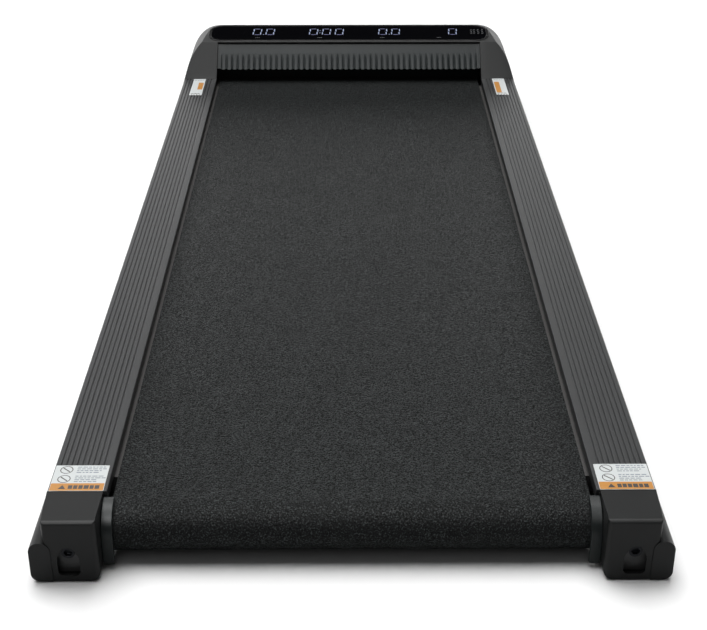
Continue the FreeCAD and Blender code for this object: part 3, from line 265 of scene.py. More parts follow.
def belt_pvc():
    """PVC walking belt with a pressed crystal tread: matt black with glossier grains, painted shade in the
    pits, painted light on the crests and painted glints in its colour.
    """
    settings = pad().belt
    made, tree, surface, place = material("belt_pvc", settings.colour, 0.6, 0.0, 0.055)
    grains = add_node(tree, "ShaderNodeTexVoronoi", {"feature": "F1"},
                      {"Scale": 1.0 / settings.grain, "Randomness": 1.0}, {"Vector": place})
    crumbs = noise(tree, place, settings.grain * 0.6, 3.0)
    cloud = noise(tree, place, 14 * settings.grain, 2.0)
    # painted shade: the pits of the tread darker and the crests lighter in the colour, in place of light on
    # the relief
    painted_pit_shade = spread(tree, crumbs, 0.0, 1.0, (0.38, 0.66))
    painted_shade_and_glints = blend_colours(tree, painted_pit_shade, shade(settings.colour, 0.35), shade(settings.colour, 1.5))
    # painted glints: light specks of colour on some grains, in place of highlights
    painted_glints = spread(tree, crumbs, 0.0, 1.0, (0.55, 0.68))
    painted_shade_and_glints = add_node(tree, "ShaderNodeMix", {"data_type": "RGBA"},
                    {"B": (*shade(settings.colour, 7.0), 1.0)},
                    {"Factor": painted_glints, "A": painted_shade_and_glints}).outputs["Result"]
    clouded = add_node(tree, "ShaderNodeMix", {"data_type": "RGBA", "blend_type": "MULTIPLY"},
                       {"Factor": 0.35}, {"A": painted_shade_and_glints, "B": cloud}).outputs["Result"]
    tree.links.new(clouded, surface.inputs["Base Color"])
    gloss = spread(tree, crumbs, 0.8, 0.22, (0.35, 0.62))
    tree.links.new(gloss, surface.inputs["Roughness"])
    low = relief(tree, surface, grains.outputs["Distance"], -0.5 * MM)
    relief(tree, surface, crumbs, 0.55 * MM, low)
    return made


def anodised_rail():
    """Extruded aluminium, dark anodised: satin with fine drawing lines along its length."""
    base = pad().rail.colour
    made, tree, surface, place = material("anodised_aluminium", base, 0.42, 0.55)
    lines = noise(tree, place, 0.35 * MM, 2.0, (1.0, 0.004, 1.0))
    haze = noise(tree, place, 60 * MM)
    tree.links.new(blend_colours(tree, haze, shade(base, 0.9), shade(base, 1.08)),
                   surface.inputs["Base Color"])
    tree.links.new(spread(tree, lines, 0.36, 0.5), surface.inputs["Roughness"])
    relief(tree, surface, lines, 0.02 * MM)
    return made


def moulded(name, base, roughness=0.45, grain=0.5 * MM, depth=0.03 * MM, sheen=0.18):
    """Injection-moulded ABS: an even satin with the fine grain of a spark-eroded mould."""
    made, tree, surface, place = material(name, base, roughness, 0.0, sheen)
    sand = noise(tree, place, grain, 3.0)
    haze = noise(tree, place, 45 * MM)
    tree.links.new(blend_colours(tree, haze, shade(base, 0.92), shade(base, 1.08)),
                   surface.inputs["Base Color"])
    tree.links.new(spread(tree, haze, roughness - 0.05, roughness + 0.06), surface.inputs["Roughness"])
    relief(tree, surface, sand, depth)
    return made


def plated(name, base, roughness=0.3):
    """Zinc-plated or bare steel: bright metal with a cloudy, slightly scratched skin."""
    made, tree, surface, place = material(name, base, roughness, 1.0)
    cloud = noise(tree, place, 6 * MM, 4.0)
    scratch = noise(tree, place, 0.5 * MM, 2.0, (0.08, 1.0, 1.0))
    tree.links.new(blend_colours(tree, cloud, shade(base, 0.8), shade(base, 1.1)),
                   surface.inputs["Base Color"])
    tree.links.new(spread(tree, cloud, roughness - 0.08, roughness + 0.14), surface.inputs["Roughness"])
    relief(tree, surface, scratch, 0.012 * MM)
    return made


def powder_coat(name, base):
    """Powder-coated steel: satin black with a slight orange peel."""
    made, tree, surface, place = material(name, base, 0.5)
    peel = noise(tree, place, 1.6 * MM, 1.0)
    tree.links.new(blend_colours(tree, peel, shade(base, 0.9), shade(base, 1.1)),
                   surface.inputs["Base Color"])
    relief(tree, surface, peel, 0.08 * MM)
    return made


def fibreboard():
    """Deck board faced with black phenolic film: dull, with the fibres showing through."""
    base = paint("#17130f")
    made, tree, surface, place = material("fibreboard", base, 0.5)
    fibre = noise(tree, place, 1.2 * MM, 5.0, (1.0, 0.25, 1.0))
    tree.links.new(blend_colours(tree, fibre, shade(base, 0.6), shade(base, 1.3)),
                   surface.inputs["Base Color"])
    relief(tree, surface, fibre, 0.05 * MM)
    return made


def rubber(name, base):
    """Moulded rubber: dull black that scatters light, with a dusty bloom."""
    made, tree, surface, place = material(name, base, 0.8)
    bloom = noise(tree, place, 4 * MM, 4.0)
    tree.links.new(blend_colours(tree, bloom, base, shade(base, 1.8)), surface.inputs["Base Color"])
    relief(tree, surface, noise(tree, place, 0.7 * MM), 0.06 * MM)
    return made


def circuit_laminate():
    """Glass-epoxy circuit board under green solder mask, with paler tracks."""
    base = paint("#0f5a33")
    made, tree, surface, place = material("circuit_laminate", base, 0.35)
    tracks = add_node(tree, "ShaderNodeTexBrick", values={
        "Scale": 120.0, "Color1": (*base, 1.0), "Color2": (*shade(base, 0.8), 1.0),
        "Mortar": (*shade(base, 2.0), 1.0), "Mortar Size": 0.03}, links={"Vector": place})
    tree.links.new(tracks.outputs["Color"], surface.inputs["Base Color"])
    return made


def smoked_acrylic():
    """Back-printed smoked acrylic: deep black with a polished face."""
    base = paint("#050507")
    made, tree, surface, place = material("smoked_acrylic", base, 0.07, 0.0, 0.03)
    tree.links.new(spread(tree, noise(tree, place, 30 * MM), 0.05, 0.09), surface.inputs["Roughness"])
    return made


def lit(name, base, strength):
    """A light-emitting bar seen through the lens: soft edged and uneven."""
    made, tree, surface, place = material(name, shade(base, 0.2), 0.4,
                                          **{"Emission Color": (*base, 1.0)})
    glow = spread(tree, noise(tree, place, 3 * MM), strength * 0.8, strength * 1.1)
    tree.links.new(glow, surface.inputs["Emission Strength"])
    return made


def printed(name, base, roughness=0.4):
    """Screen-printed ink or vinyl film: flat and even, with a faint mottle."""
    made, tree, surface, place = material(name, base, roughness)
    mottle = noise(tree, place, 1.5 * MM, 3.0)
    tree.links.new(blend_colours(tree, mottle, shade(base, 0.93), shade(base, 1.04)),
                   surface.inputs["Base Color"])
    return made


# ------------------------------------------------------------------------------- mesh helpers


def mesh_object(name, vertices, faces):
    """A new linked object from vertices in metres and faces."""
    mesh = bpy.data.meshes.new(name)
    mesh.from_pydata([tuple(v) for v in vertices], [], faces)
    made = bpy.data.objects.new(name, mesh)
    bpy.context.scene.collection.objects.link(made)
    return made


def edit(obj, *steps):
    """Runs bmesh steps on an object's mesh."""
    shape = bmesh.new()
    shape.from_mesh(obj.data)
    for step in steps:
        step(shape)
    shape.to_mesh(obj.data)
    shape.free()
    return obj


def outward(shape):
    """Merges doubles and lets Blender turn the faces outwards, which leaves those of a panel rib inwards."""
    bmesh.ops.remove_doubles(shape, verts=shape.verts, dist=0.005 * MM)
    bmesh.ops.recalc_face_normals(shape, faces=shape.faces)


def bevelled(obj, width, segments=3, angle=32.0, weighted=False):
    """Adds a bevel modifier, by angle or by edge weight."""
    bevel = obj.modifiers.new("round_edges", "BEVEL")
    bevel.width = width
    bevel.segments = segments
    bevel.limit_method = "WEIGHT" if weighted else "ANGLE"
    bevel.angle_limit = math.radians(angle)
    bevel.use_clamp_overlap = True
    return obj


def smoothed(mesh, angle):
    """Shades a mesh smoothly, with edges left sharp past an angle."""
    mesh.shade_smooth()
    mesh.set_sharp_from_angle(angle=math.radians(angle))


def bake(obj, angle=32.0):
    """Turns an object and its modifiers into a plain, smoothly shaded mesh."""
    graph = bpy.context.evaluated_depsgraph_get()
    mesh = bpy.data.meshes.new_from_object(obj.evaluated_get(graph))
    obj.modifiers.clear()
    obj.data = mesh
    if not mesh.has_custom_normals:
        smoothed(mesh, angle)
    return obj


def settle(obj, body, slot, finish, *nodes):
    """Gives a finished piece its material and body, and hides the CAD nodes that it stands for."""
    if finish:
        obj.data.materials.clear()
        obj.data.materials.append(finish)
    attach(obj, body)
    if nodes:
        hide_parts(*nodes)
    return obj


def carry_over(finish, *nodes):
    """Gives CAD nodes that stay as they are a better material."""
    for node in nodes:
        for place in frame["nodes"][node].material_slots:
            place.material = finish


def body_of(node):
    """The body that a CAD node rides on."""
    bodies = frame["record"]["behaviour"]["bodies"]
    return next(body for body, members in bodies.items() if node in members)


def slot_of(node):
    """The record's material slot of a CAD node."""
    rows = frame["record"]["subparts"]
    return next(row["material_slot"] for row in rows if row["node"] == node)


def finished_copy(node, finish, width, segments=2, angle=32.0, first=None):
    """A CAD node's shape with its flats joined and its edges rounded, in place of the node."""
    mesh = frame["nodes"][node].data.copy()
    made = bpy.data.objects.new(node + "_moulding", mesh)
    bpy.context.scene.collection.objects.link(made)

    def join_flats(shape):
        bmesh.ops.remove_doubles(shape, verts=shape.verts, dist=0.01 * MM)
        bmesh.ops.dissolve_limit(shape, angle_limit=math.radians(0.6), verts=shape.verts,
                                 edges=shape.edges)
    edit(made, join_flats, *([first] if first else []))
    smoothed(made.data, angle)
    bevelled(made, width, segments, angle)
    even = made.modifiers.new("even_shading", "WEIGHTED_NORMAL")
    even.weight = 100
    even.keep_sharp = True
    bake(made)
    return settle(made, body_of(node), slot_of(node), finish, node)


def rounded_line(corners, steps=5):
    """A closed outline; each corner is (a, b, radius) and becomes an arc of a few points."""
    points = []
    count = len(corners)
    for number, (a, b, radius) in enumerate(corners):
        here = Vector((a, b))
        if radius <= 0:
            points.append(here)
            continue
        into = (Vector(corners[number - 1][:2]) - here).normalized()
        out = (Vector(corners[(number + 1) % count][:2]) - here).normalized()
        half = into.angle(out) / 2
        trim = radius / math.tan(half)
        centre = here + (into + out).normalized() * (radius / math.sin(half))
        start, end = here + into * trim - centre, here + out * trim - centre
        sweep = start.angle_signed(end)
        for step in range(steps + 1):
            turn = Matrix.Rotation(-sweep * step / steps, 2)
            points.append(centre + turn @ start)
    return points


def rounded_rectangle(across, up, radius, *steps):
    """The outline of a rectangle over two spans, with rounded corners."""
    corners = [(across[0], up[0]), (across[1], up[0]), (across[1], up[1]), (across[0], up[1])]
    return rounded_line([(*corner, radius) for corner in corners], *steps)


def extrusion(name, outline, span, axis="y"):
    """A closed outline carried along an axis: (x, z) along y, or (x, y) along z."""
    count = len(outline)
    rings = [[(a, t, b) if axis == "y" else (a, b, t) for a, b in outline] for t in span]
    faces = []
    for ring in range(len(span) - 1):
        for number in range(count):
            after = (number + 1) % count
            low, high = ring * count, (ring + 1) * count
            faces.append((low + number, low + after, high + after, high + number))
    faces.append(tuple(range(count)))
    faces.append(tuple(range((len(span) - 1) * count, len(span) * count)))
    made = mesh_object(name, sum(rings, []), faces)
    return edit(made, outward)


def joined(name, *objects):
    """Several objects as one mesh, each keeping its own materials."""
    with bpy.context.temp_override(active_object=objects[0], selected_editable_objects=list(objects)):
        bpy.ops.object.join()
    objects[0].name = name
    return objects[0]


def copies(name, source, places, finish):
    """Geometry nodes that set a source shape on every given place and make them one mesh."""
    tree = bpy.data.node_groups.new(name + "_rows", "GeometryNodeTree")
    face = tree.interface
    face.new_socket("Geometry", in_out="INPUT", socket_type="NodeSocketGeometry")
    shape = face.new_socket("Shape", in_out="INPUT", socket_type="NodeSocketObject")
    size = face.new_socket("Size", in_out="INPUT", socket_type="NodeSocketFloat")
    face.new_socket("Geometry", in_out="OUTPUT", socket_type="NodeSocketGeometry")
    entry = add_node(tree, "NodeGroupInput")
    item = add_node(tree, "GeometryNodeObjectInfo", links={"Object": entry.outputs["Shape"]})
    spots = add_node(tree, "GeometryNodeMeshToPoints", links={"Mesh": entry.outputs["Geometry"]})
    placed = add_node(tree, "GeometryNodeInstanceOnPoints", links={
        "Points": spots.outputs["Points"], "Instance": item.outputs["Geometry"],
        "Scale": entry.outputs["Size"]})
    real = add_node(tree, "GeometryNodeRealizeInstances", links={"Geometry": placed.outputs["Instances"]})
    coated = add_node(tree, "GeometryNodeSetMaterial", values={"Material": finish},
                      links={"Geometry": real.outputs["Geometry"]})
    add_node(tree, "NodeGroupOutput", links={"Geometry": coated.outputs["Geometry"]})
    made = mesh_object(name, places, [])
    rows = made.modifiers.new("rows", "NODES")
    rows.node_group = tree
    rows[shape.identifier] = source
    rows[size.identifier] = 1.0
    bake(made)
    bpy.data.objects.remove(source)
    return made


# ------------------------------------------------------------------------------- pieces


class WALKINGPAD_OT_belt(bpy.types.Operator):
    """Makes the walking belt, a closed loop round its two rollers."""

    bl_idname = "walking_pad.belt"
    bl_label = "Walking belt"

    def execute(self, context):
        low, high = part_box("running_belt")
        thick = pad().belt.thickness
        radius = (high.z - low.z) / 2
        steps = 40

        def loop(size):
            ends = ((high.y - radius, -90), (low.y + radius, 90))
            return [(y + size * math.cos(math.radians(first + 180 * step / steps)),
                     low.z + radius + size * math.sin(math.radians(first + 180 * step / steps)))
                    for y, first in ends for step in range(steps + 1)]

        outer, inner = loop(radius), loop(radius - thick)
        edge = 0.5 * MM
        outer_soft = loop(radius - edge)
        rings = [(low.x, inner), (low.x, outer_soft), (low.x + edge, outer), (high.x - edge, outer),
                 (high.x, outer_soft), (high.x, inner)]
        vertices = [(x, y, z) for x, ring in rings for y, z in ring]
        count = len(outer)
        faces = [(row * count + n, row * count + (n + 1) % count,
                  (row + 1) % len(rings) * count + (n + 1) % count, (row + 1) % len(rings) * count + n)
                 for row in range(len(rings)) for n in range(count)]
        belt = edit(mesh_object("walking_belt", vertices, faces), outward)
        settle(bake(belt), "frame", "belt_pvc", belt_pvc(), "running_belt")
        return {"FINISHED"}


class WALKINGPAD_OT_rails(bpy.types.Operator):
    """Makes the side rails: a grooved tread, an inner lip and a round bead."""

    bl_idname = "walking_pad.rails"
    bl_label = "Side rails"

    def execute(self, context):
        finish = anodised_rail()
        for side, node in ((1, "side_rail_right"), (-1, "side_rail_left")):
            low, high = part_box(node)
            outline = self.outline(pad().rail, low, high, side)
            edge = 0.3 * MM
            rail = extrusion(node + "_extrusion", outline, (low.y, low.y + edge, high.y - edge, high.y))
            settle(bake(rail, 28.0), "frame", "rail_metal", finish, node)
        return {"FINISHED"}

    def outline(self, rail, low, high, side):
        inner, outer = (low.x, high.x) if side > 0 else (-high.x, -low.x)
        top, seat, soft = high.z, low.z, 0.4 * MM
        wall, bead = rail.wall, rail.bead
        tread = inner + rail.tread
        bead_top = top - rail.bead_top
        rib = inner + rail.rib_in
        frame_top = top - 30 * MM
        corners = [(inner, top, 0.8 * MM), (inner, top - rail.lip, soft),
                   (inner + wall, top - rail.lip, soft), (inner + wall, top - wall, soft),
                   (rib, top - wall, soft), (rib, frame_top, 0), (rib + wall, frame_top, 0),
                   (rib + wall, top - wall, soft), (tread - wall, top - wall, soft),
                   (tread - wall, bead_top - wall, 0), (outer - wall, bead_top - wall, bead - wall),
                   (outer - wall, seat + wall, bead - wall), (outer - rail.flange, seat + wall, 0),
                   (outer - rail.flange, seat, soft), (outer, seat, bead), (outer, bead_top, bead),
                   (tread, bead_top, 0.5 * MM), (tread, top, 1.2 * MM)]
        last = rail.first + rail.pitch * (rail.count - 1)
        for number in range(rail.count):
            middle = inner + last - rail.pitch * number
            half, floor = rail.wide / 2, rail.wide / 4
            corners += [(middle + half, top, 0.25 * MM), (middle + floor, top - rail.deep, 0.15 * MM),
                        (middle - floor, top - rail.deep, 0.15 * MM), (middle - half, top, 0.25 * MM)]
        return [(side * point.x, point.y) for point in rounded_line(corners, 4)]


class WALKINGPAD_OT_end_caps(bpy.types.Operator):
    """Finishes the end caps and roller guards with rounded mould edges."""

    bl_idname = "walking_pad.end_caps"
    bl_label = "End caps and guards"

    def execute(self, context):
        finish = moulded("moulded_abs_cap", paint("#191a1a"), 0.40, sheen=0.12)
        guard = moulded("moulded_abs_guard", paint("#181d1d"), 0.32, sheen=0.14)
        low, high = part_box("end_cap_left")

        def round_brow(shape):
            """Rounds the edge between the top and the near face."""
            brow = [edge for edge in shape.edges if edge.is_manifold and edge.calc_face_angle() > 0.5
                    and all(end.co.z > high.z - 4 * MM and end.co.y < low.y + 9 * MM for end in edge.verts)]
            bmesh.ops.bevel(shape, geom=brow, offset=4 * MM, offset_type="OFFSET", segments=5, profile=0.5,
                            affect="EDGES", clamp_overlap=True)

        for node in ("end_cap_left", "end_cap_right"):
            finished_copy(node, finish, 0.7 * MM, 2, first=round_brow)
        finished_copy("roller_guards", guard, 0.6 * MM, 2)
        screw = plated("black_oxide_steel", paint("#1e1f21"), 0.38)
        for node in ("adjust_bolt_left", "adjust_bolt_right"):
            finished_copy(node, screw, 0.35 * MM, 2)
        return {"FINISHED"}


class WALKINGPAD_OT_hood(bpy.types.Operator):
    """Makes the motor hood as one lofted shell with a mouth for the belt."""

    bl_idname = "walking_pad.hood"
    bl_label = "Motor hood"

    CREASE = 8  # rows from the rails to where the slope meets the top
    TURNS = 8  # rows round a far corner
    STEPS = 26  # points up the wall
    SHOULDER = (1.0, 0.66, 0.33, 0.0)  # columns across a shoulder, from the flank in
    ACROSS = [n / 14 for n in range(14, -1, -1)]  # columns across the mouth, to the middle

    def execute(self, context):
        hood = self.hood = pad().hood
        self.low, self.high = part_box("hood_shell")
        shell = self.loft()
        solid = shell.modifiers.new("shell", "SOLIDIFY")
        solid.thickness = hood.shell
        solid.offset = -1.0
        finish = moulded("moulded_abs_hood", hood.colour, 0.40, sheen=0.11)
        bevelled(shell, 0.7 * MM, 2, 50.0)
        self.cut_sockets(shell)
        settle(bake(shell, 35.0), "frame", "black_abs", finish, "hood_shell")
        return {"FINISHED"}

    def top_z(self, y):
        """Height of the slope and of the top at a place along the pad."""
        hood = self.hood
        if y < hood.edge_y:
            share = (y - self.low.y) / (hood.edge_y - self.low.y)
            return hood.joint_z + share * (hood.edge_z - hood.joint_z)
        return hood.edge_z + (y - hood.edge_y) * math.tan(hood.lean)

    def flank_x(self, z):
        """How far out the side of the hood is at a height."""
        hood = self.hood
        flats = ((0, 0), (30, 0), (60, 10), (75, 14.5))  # height and how far in, in mm

        def sharp(z):
            for (foot, near), (head, far) in zip(flats, flats[1:]):
                if z < head * MM:
                    return self.high.x - near * MM - (z - foot * MM) * (far - near) / (head - foot)
            return hood.crown_x + math.sqrt(max(hood.crown_round ** 2 - (z - hood.crown_z) ** 2, 0.0))

        if z > 70 * MM:
            return sharp(z)
        return sum(sharp(max(z + step * MM, 0)) for step in (-6, -3, 0, 3, 6)) / 5

    def loft(self):
        """The outer skin: a wall round the sides and far face, and a lid with the mouth left open."""
        self.shape = bmesh.new()
        self.weight = self.shape.edges.layers.float.new("bevel_weight_edge")
        self.make_rim()
        self.make_wall()
        self.make_lid()
        self.make_cheeks()
        shape = self.shape
        outward(shape)
        if sum(face.normal.z * face.calc_area() for face in shape.faces) < 0:
            bmesh.ops.reverse_faces(shape, faces=shape.faces)
        made = mesh_object("motor_hood", [], [])
        shape.to_mesh(made.data)
        shape.free()
        return bevelled(made, self.hood.blend, 6, weighted=True)

    def make_rim(self):
        """One half of the wall's foot and head: (foot, head, share of the far face's profile)."""
        hood, low, high = self.hood, self.low, self.high
        side_rows = [low.y + (hood.edge_y - low.y) * n / self.CREASE for n in range(self.CREASE + 1)]
        side_end = hood.far - hood.top_corner
        side_rows += [hood.edge_y + (side_end - hood.edge_y) * n / 6 for n in range(1, 7)]
        self.rim = []
        for y in side_rows:
            foot_y = low.y + (y - low.y) / (side_end - low.y) * (high.y - hood.corner - low.y)
            self.rim.append(((high.x, foot_y), (self.flank_x(self.top_z(y)), y), 0.0))
        self.sides = len(side_rows)
        reach = self.flank_x(self.top_z(side_end))
        x_far = self.flank_x(self.top_z(hood.far)) - hood.top_corner
        for number in range(1, self.TURNS + 1):
            turn = math.radians(90 * number / self.TURNS)
            side, ahead = math.cos(turn), math.sin(turn)
            foot = (high.x - hood.corner * (1 - side), high.y - hood.corner * (1 - ahead))
            head = (x_far + (reach - x_far) * side, side_end + hood.top_corner * ahead)
            self.rim.append((foot, head, ahead ** 2))
        for share in self.ACROSS[1:]:
            self.rim.append((((high.x - hood.corner) * share, high.y), (x_far * share, hood.far), 1.0))

    def make_wall(self):
        """The wall from foot to head, bulging as the flank does at the sides and round at the far face."""
        hood, low, high = self.hood, self.low, self.high
        centre_y, centre_z = high.y - hood.nose_round, self.top_z(hood.far) - hood.nose_round

        def nose_y(z):
            if z < centre_z:
                return high.y
            return centre_y + math.sqrt(max(hood.nose_round ** 2 - (z - centre_z) ** 2, 0.0))

        def point(foot, head, far, step):
            top_z = self.top_z(head[1])
            z = low.z + (top_z - low.z) * (1 - (1 - step / self.STEPS) ** 1.4)
            foot_x = self.flank_x(low.z)
            share = side_in = (foot_x - self.flank_x(z)) / (foot_x - self.flank_x(top_z))
            if far:
                share += ((high.y - nose_y(z)) / (high.y - nose_y(top_z)) - side_in) * far
            return [a + (b - a) * share for a, b in zip(foot, head)] + [z]

        self.wall = {}
        for hand in (1, -1):
            for number, (foot, head, far) in enumerate(self.rim):
                for step in range(self.STEPS + 1):
                    if hand < 0 and number == len(self.rim) - 1:
                        self.wall[hand, number, step] = self.wall[1, number, step]
                        continue
                    x, y, z = point(foot, head, far, step)
                    self.wall[hand, number, step] = self.shape.verts.new((hand * x, y, z))
        self.skin(self.wall, len(self.rim), self.STEPS + 1)

    def make_lid(self):
        """The slope and the top: rows across, with columns for the shoulders and for the mouth."""
        hood = self.hood
        rows = self.sides + self.TURNS
        inner = len(self.SHOULDER) - 1
        columns = inner + len(self.ACROSS)
        lid = self.lid = {}
        for row in range(rows):
            edge_x, y = self.rim[row][1]
            inset = min(hood.mouth, edge_x - 1 * MM)
            places = [inset + (edge_x - inset) * share for share in self.SHOULDER[1:]]
            places += [inset * share for share in self.ACROSS[1:]]
            for hand in (1, -1):
                lid[hand, row, 0] = self.wall[hand, row, self.STEPS]
                for column, x in enumerate(places, 1):
                    if x == 0 and hand < 0:
                        lid[hand, row, column] = lid[1, row, column]
                    else:
                        lid[hand, row, column] = self.shape.verts.new((hand * x, y, self.top_z(y)))

        def is_open(row, column):
            y = (self.rim[row][1][1] + self.rim[row + 1][1][1]) / 2
            return column >= inner and (y < hood.edge_y or hood.window_near < y < hood.window_far)

        self.skin(lid, rows, columns, is_open)
        for hand in (1, -1):
            # the last row of the lid meets the top of the far wall
            wall_top = [self.wall[hand, number, self.STEPS] for number in range(rows - 1, len(self.rim))]
            for column in range(1, columns):
                lid[hand, rows - 1, column].co = wall_top[max(column - inner, 0)].co
            for row in range(rows - 1):
                soft = min(1.0, 1.0 - (row - self.sides + 1) / self.TURNS)
                self.soften(lid[hand, row, 0], lid[hand, row + 1, 0], soft)
            for column in range(inner):
                self.soften(lid[hand, self.CREASE, column], lid[hand, self.CREASE, column + 1], 1.0)

    def make_cheeks(self):
        """The shoulders' inner walls, down to the belt."""
        rows, steps, inner = self.CREASE + 1, 6, len(self.SHOULDER) - 1
        cheek = {}
        for hand in (1, -1):
            for row in range(rows):
                head = cheek[hand, row, 0] = self.lid[hand, row, inner]
                for step in range(1, steps + 1):
                    z = head.co.z + (self.hood.cheek_foot - head.co.z) * step / steps
                    cheek[hand, row, step] = self.shape.verts.new((head.co.x, head.co.y, z))
        self.skin(cheek, rows, steps + 1)
        for hand in (1, -1):
            for row in range(rows - 1):
                self.soften(cheek[hand, row, 0], cheek[hand, row + 1, 0], 0.14)

    def skin(self, grid, rows, columns, is_open=lambda row, column: False):
        """Fills a grid of points with faces, on both sides of the pad."""
        for hand in (1, -1):
            for row in range(rows - 1):
                for column in range(columns - 1):
                    if not is_open(row, column):
                        self.shape.faces.new([grid[hand, row, column], grid[hand, row + 1, column],
                                              grid[hand, row + 1, column + 1], grid[hand, row, column + 1]])

    def soften(self, first, second, share):
        """Marks the edge between two points for the bevel, with a share of its width."""
        edge = self.shape.edges.get((first, second))
        if edge and share > 0:
            edge[self.weight] = share

    def cut_sockets(self, shell):
        """Openings in the far face for the inlet, the switch and the reset button."""
        gap = 0.05 * MM
        through = (self.high.y - 5 * MM, self.high.y + 5 * MM)
        cutters = []
        for node in ("power_inlet", "switch_housing"):
            low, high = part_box(node)
            outline = rounded_rectangle((low.x - gap, high.x + gap), (low.z - gap, high.z + gap), 0.6 * MM)
            cutters.append(extrusion(node + "_cutter", outline, through))
        low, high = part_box("breaker_button")
        middle = (low + high) / 2
        radius = 6.05 * MM
        turns = [math.radians(angle) for angle in range(0, 360, 10)]
        outline = [(middle.x + radius * math.cos(turn), middle.z + radius * math.sin(turn))
                   for turn in turns]
        cutters.append(extrusion("button_cutter", outline, through))
        for cutter in cutters:
            opening = shell.modifiers.new("opening", "BOOLEAN")
            opening.object = cutter
            opening.operation = "DIFFERENCE"
            opening.solver = "EXACT"
        bpy.context.view_layer.update()
        bake(shell)
        for cutter in cutters:
            bpy.data.objects.remove(cutter)


class WALKINGPAD_OT_ribbed_panel(bpy.types.Operator):
    """Makes the ribbed panel under the display, its ribs fading into a smooth band."""

    bl_idname = "walking_pad.ribbed_panel"
    bl_label = "Ribbed panel"

    def execute(self, context):
        hood = pad().hood
        finish = moulded("moulded_abs_panel", paint("#222829"), 0.36, sheen=0.13)
        slab = finished_copy("ribbed_panel", finish, 0.4 * MM)
        pitch, high = hood.rib_pitch, hood.rib_high
        foot, lean, long = Vector((0, hood.panel_y, hood.panel_z)), hood.panel_lean, hood.panel_long

        def flat_front(shape):
            """Takes the CAD ribs off, so that the finer ones can stand there."""
            normal = Vector((0, -math.sin(lean), math.cos(lean)))
            for vertex in shape.verts:
                rise = (vertex.co - foot).dot(normal)
                if 0 < rise < 10 * MM and vertex.co.y < 553 * MM:
                    vertex.co -= normal * rise

        edit(slab, flat_front)
        turn = Matrix.Rotation(lean, 4, "X")
        half = pitch * 0.48
        across, along = 10, 16
        vertices, faces = [], []
        for row in range(along + 1):
            share = row / along
            fade = min(1.0, max(0.0, (0.9 - share) / 0.45))
            fade *= fade * (3 - 2 * fade)
            for column in range(across + 1):
                angle = math.pi * column / across
                x = half * math.cos(angle)
                z = high * math.sin(angle) ** 0.8 * fade - 0.15 * MM
                y = share * long * 0.76 - 2.2 * MM * math.sin(angle) * (1 - share) ** 6
                vertices.append(turn @ Vector((x, y, z)))
        for row in range(along):
            for column in range(across):
                first = row * (across + 1) + column
                faces.append((first, first + 1, first + across + 2, first + across + 1))
        for row in (0, along):
            faces.append(tuple(range(row * (across + 1), (row + 1) * (across + 1))))
        for row in range(along):
            first = row * (across + 1)
            faces.append((first, first + across, first + 2 * across + 1, first + across + 1))
        rib = edit(mesh_object("rib", vertices, faces), outward)
        places = [foot + Vector((pitch * (number - (hood.rib_count - 1) / 2), 0, 0))
                  for number in range(hood.rib_count)]
        ribs = copies("panel_ribs", rib, places, finish)
        settle(bake(ribs, 50.0), "frame", "black_abs", finish)
        return {"FINISHED"}


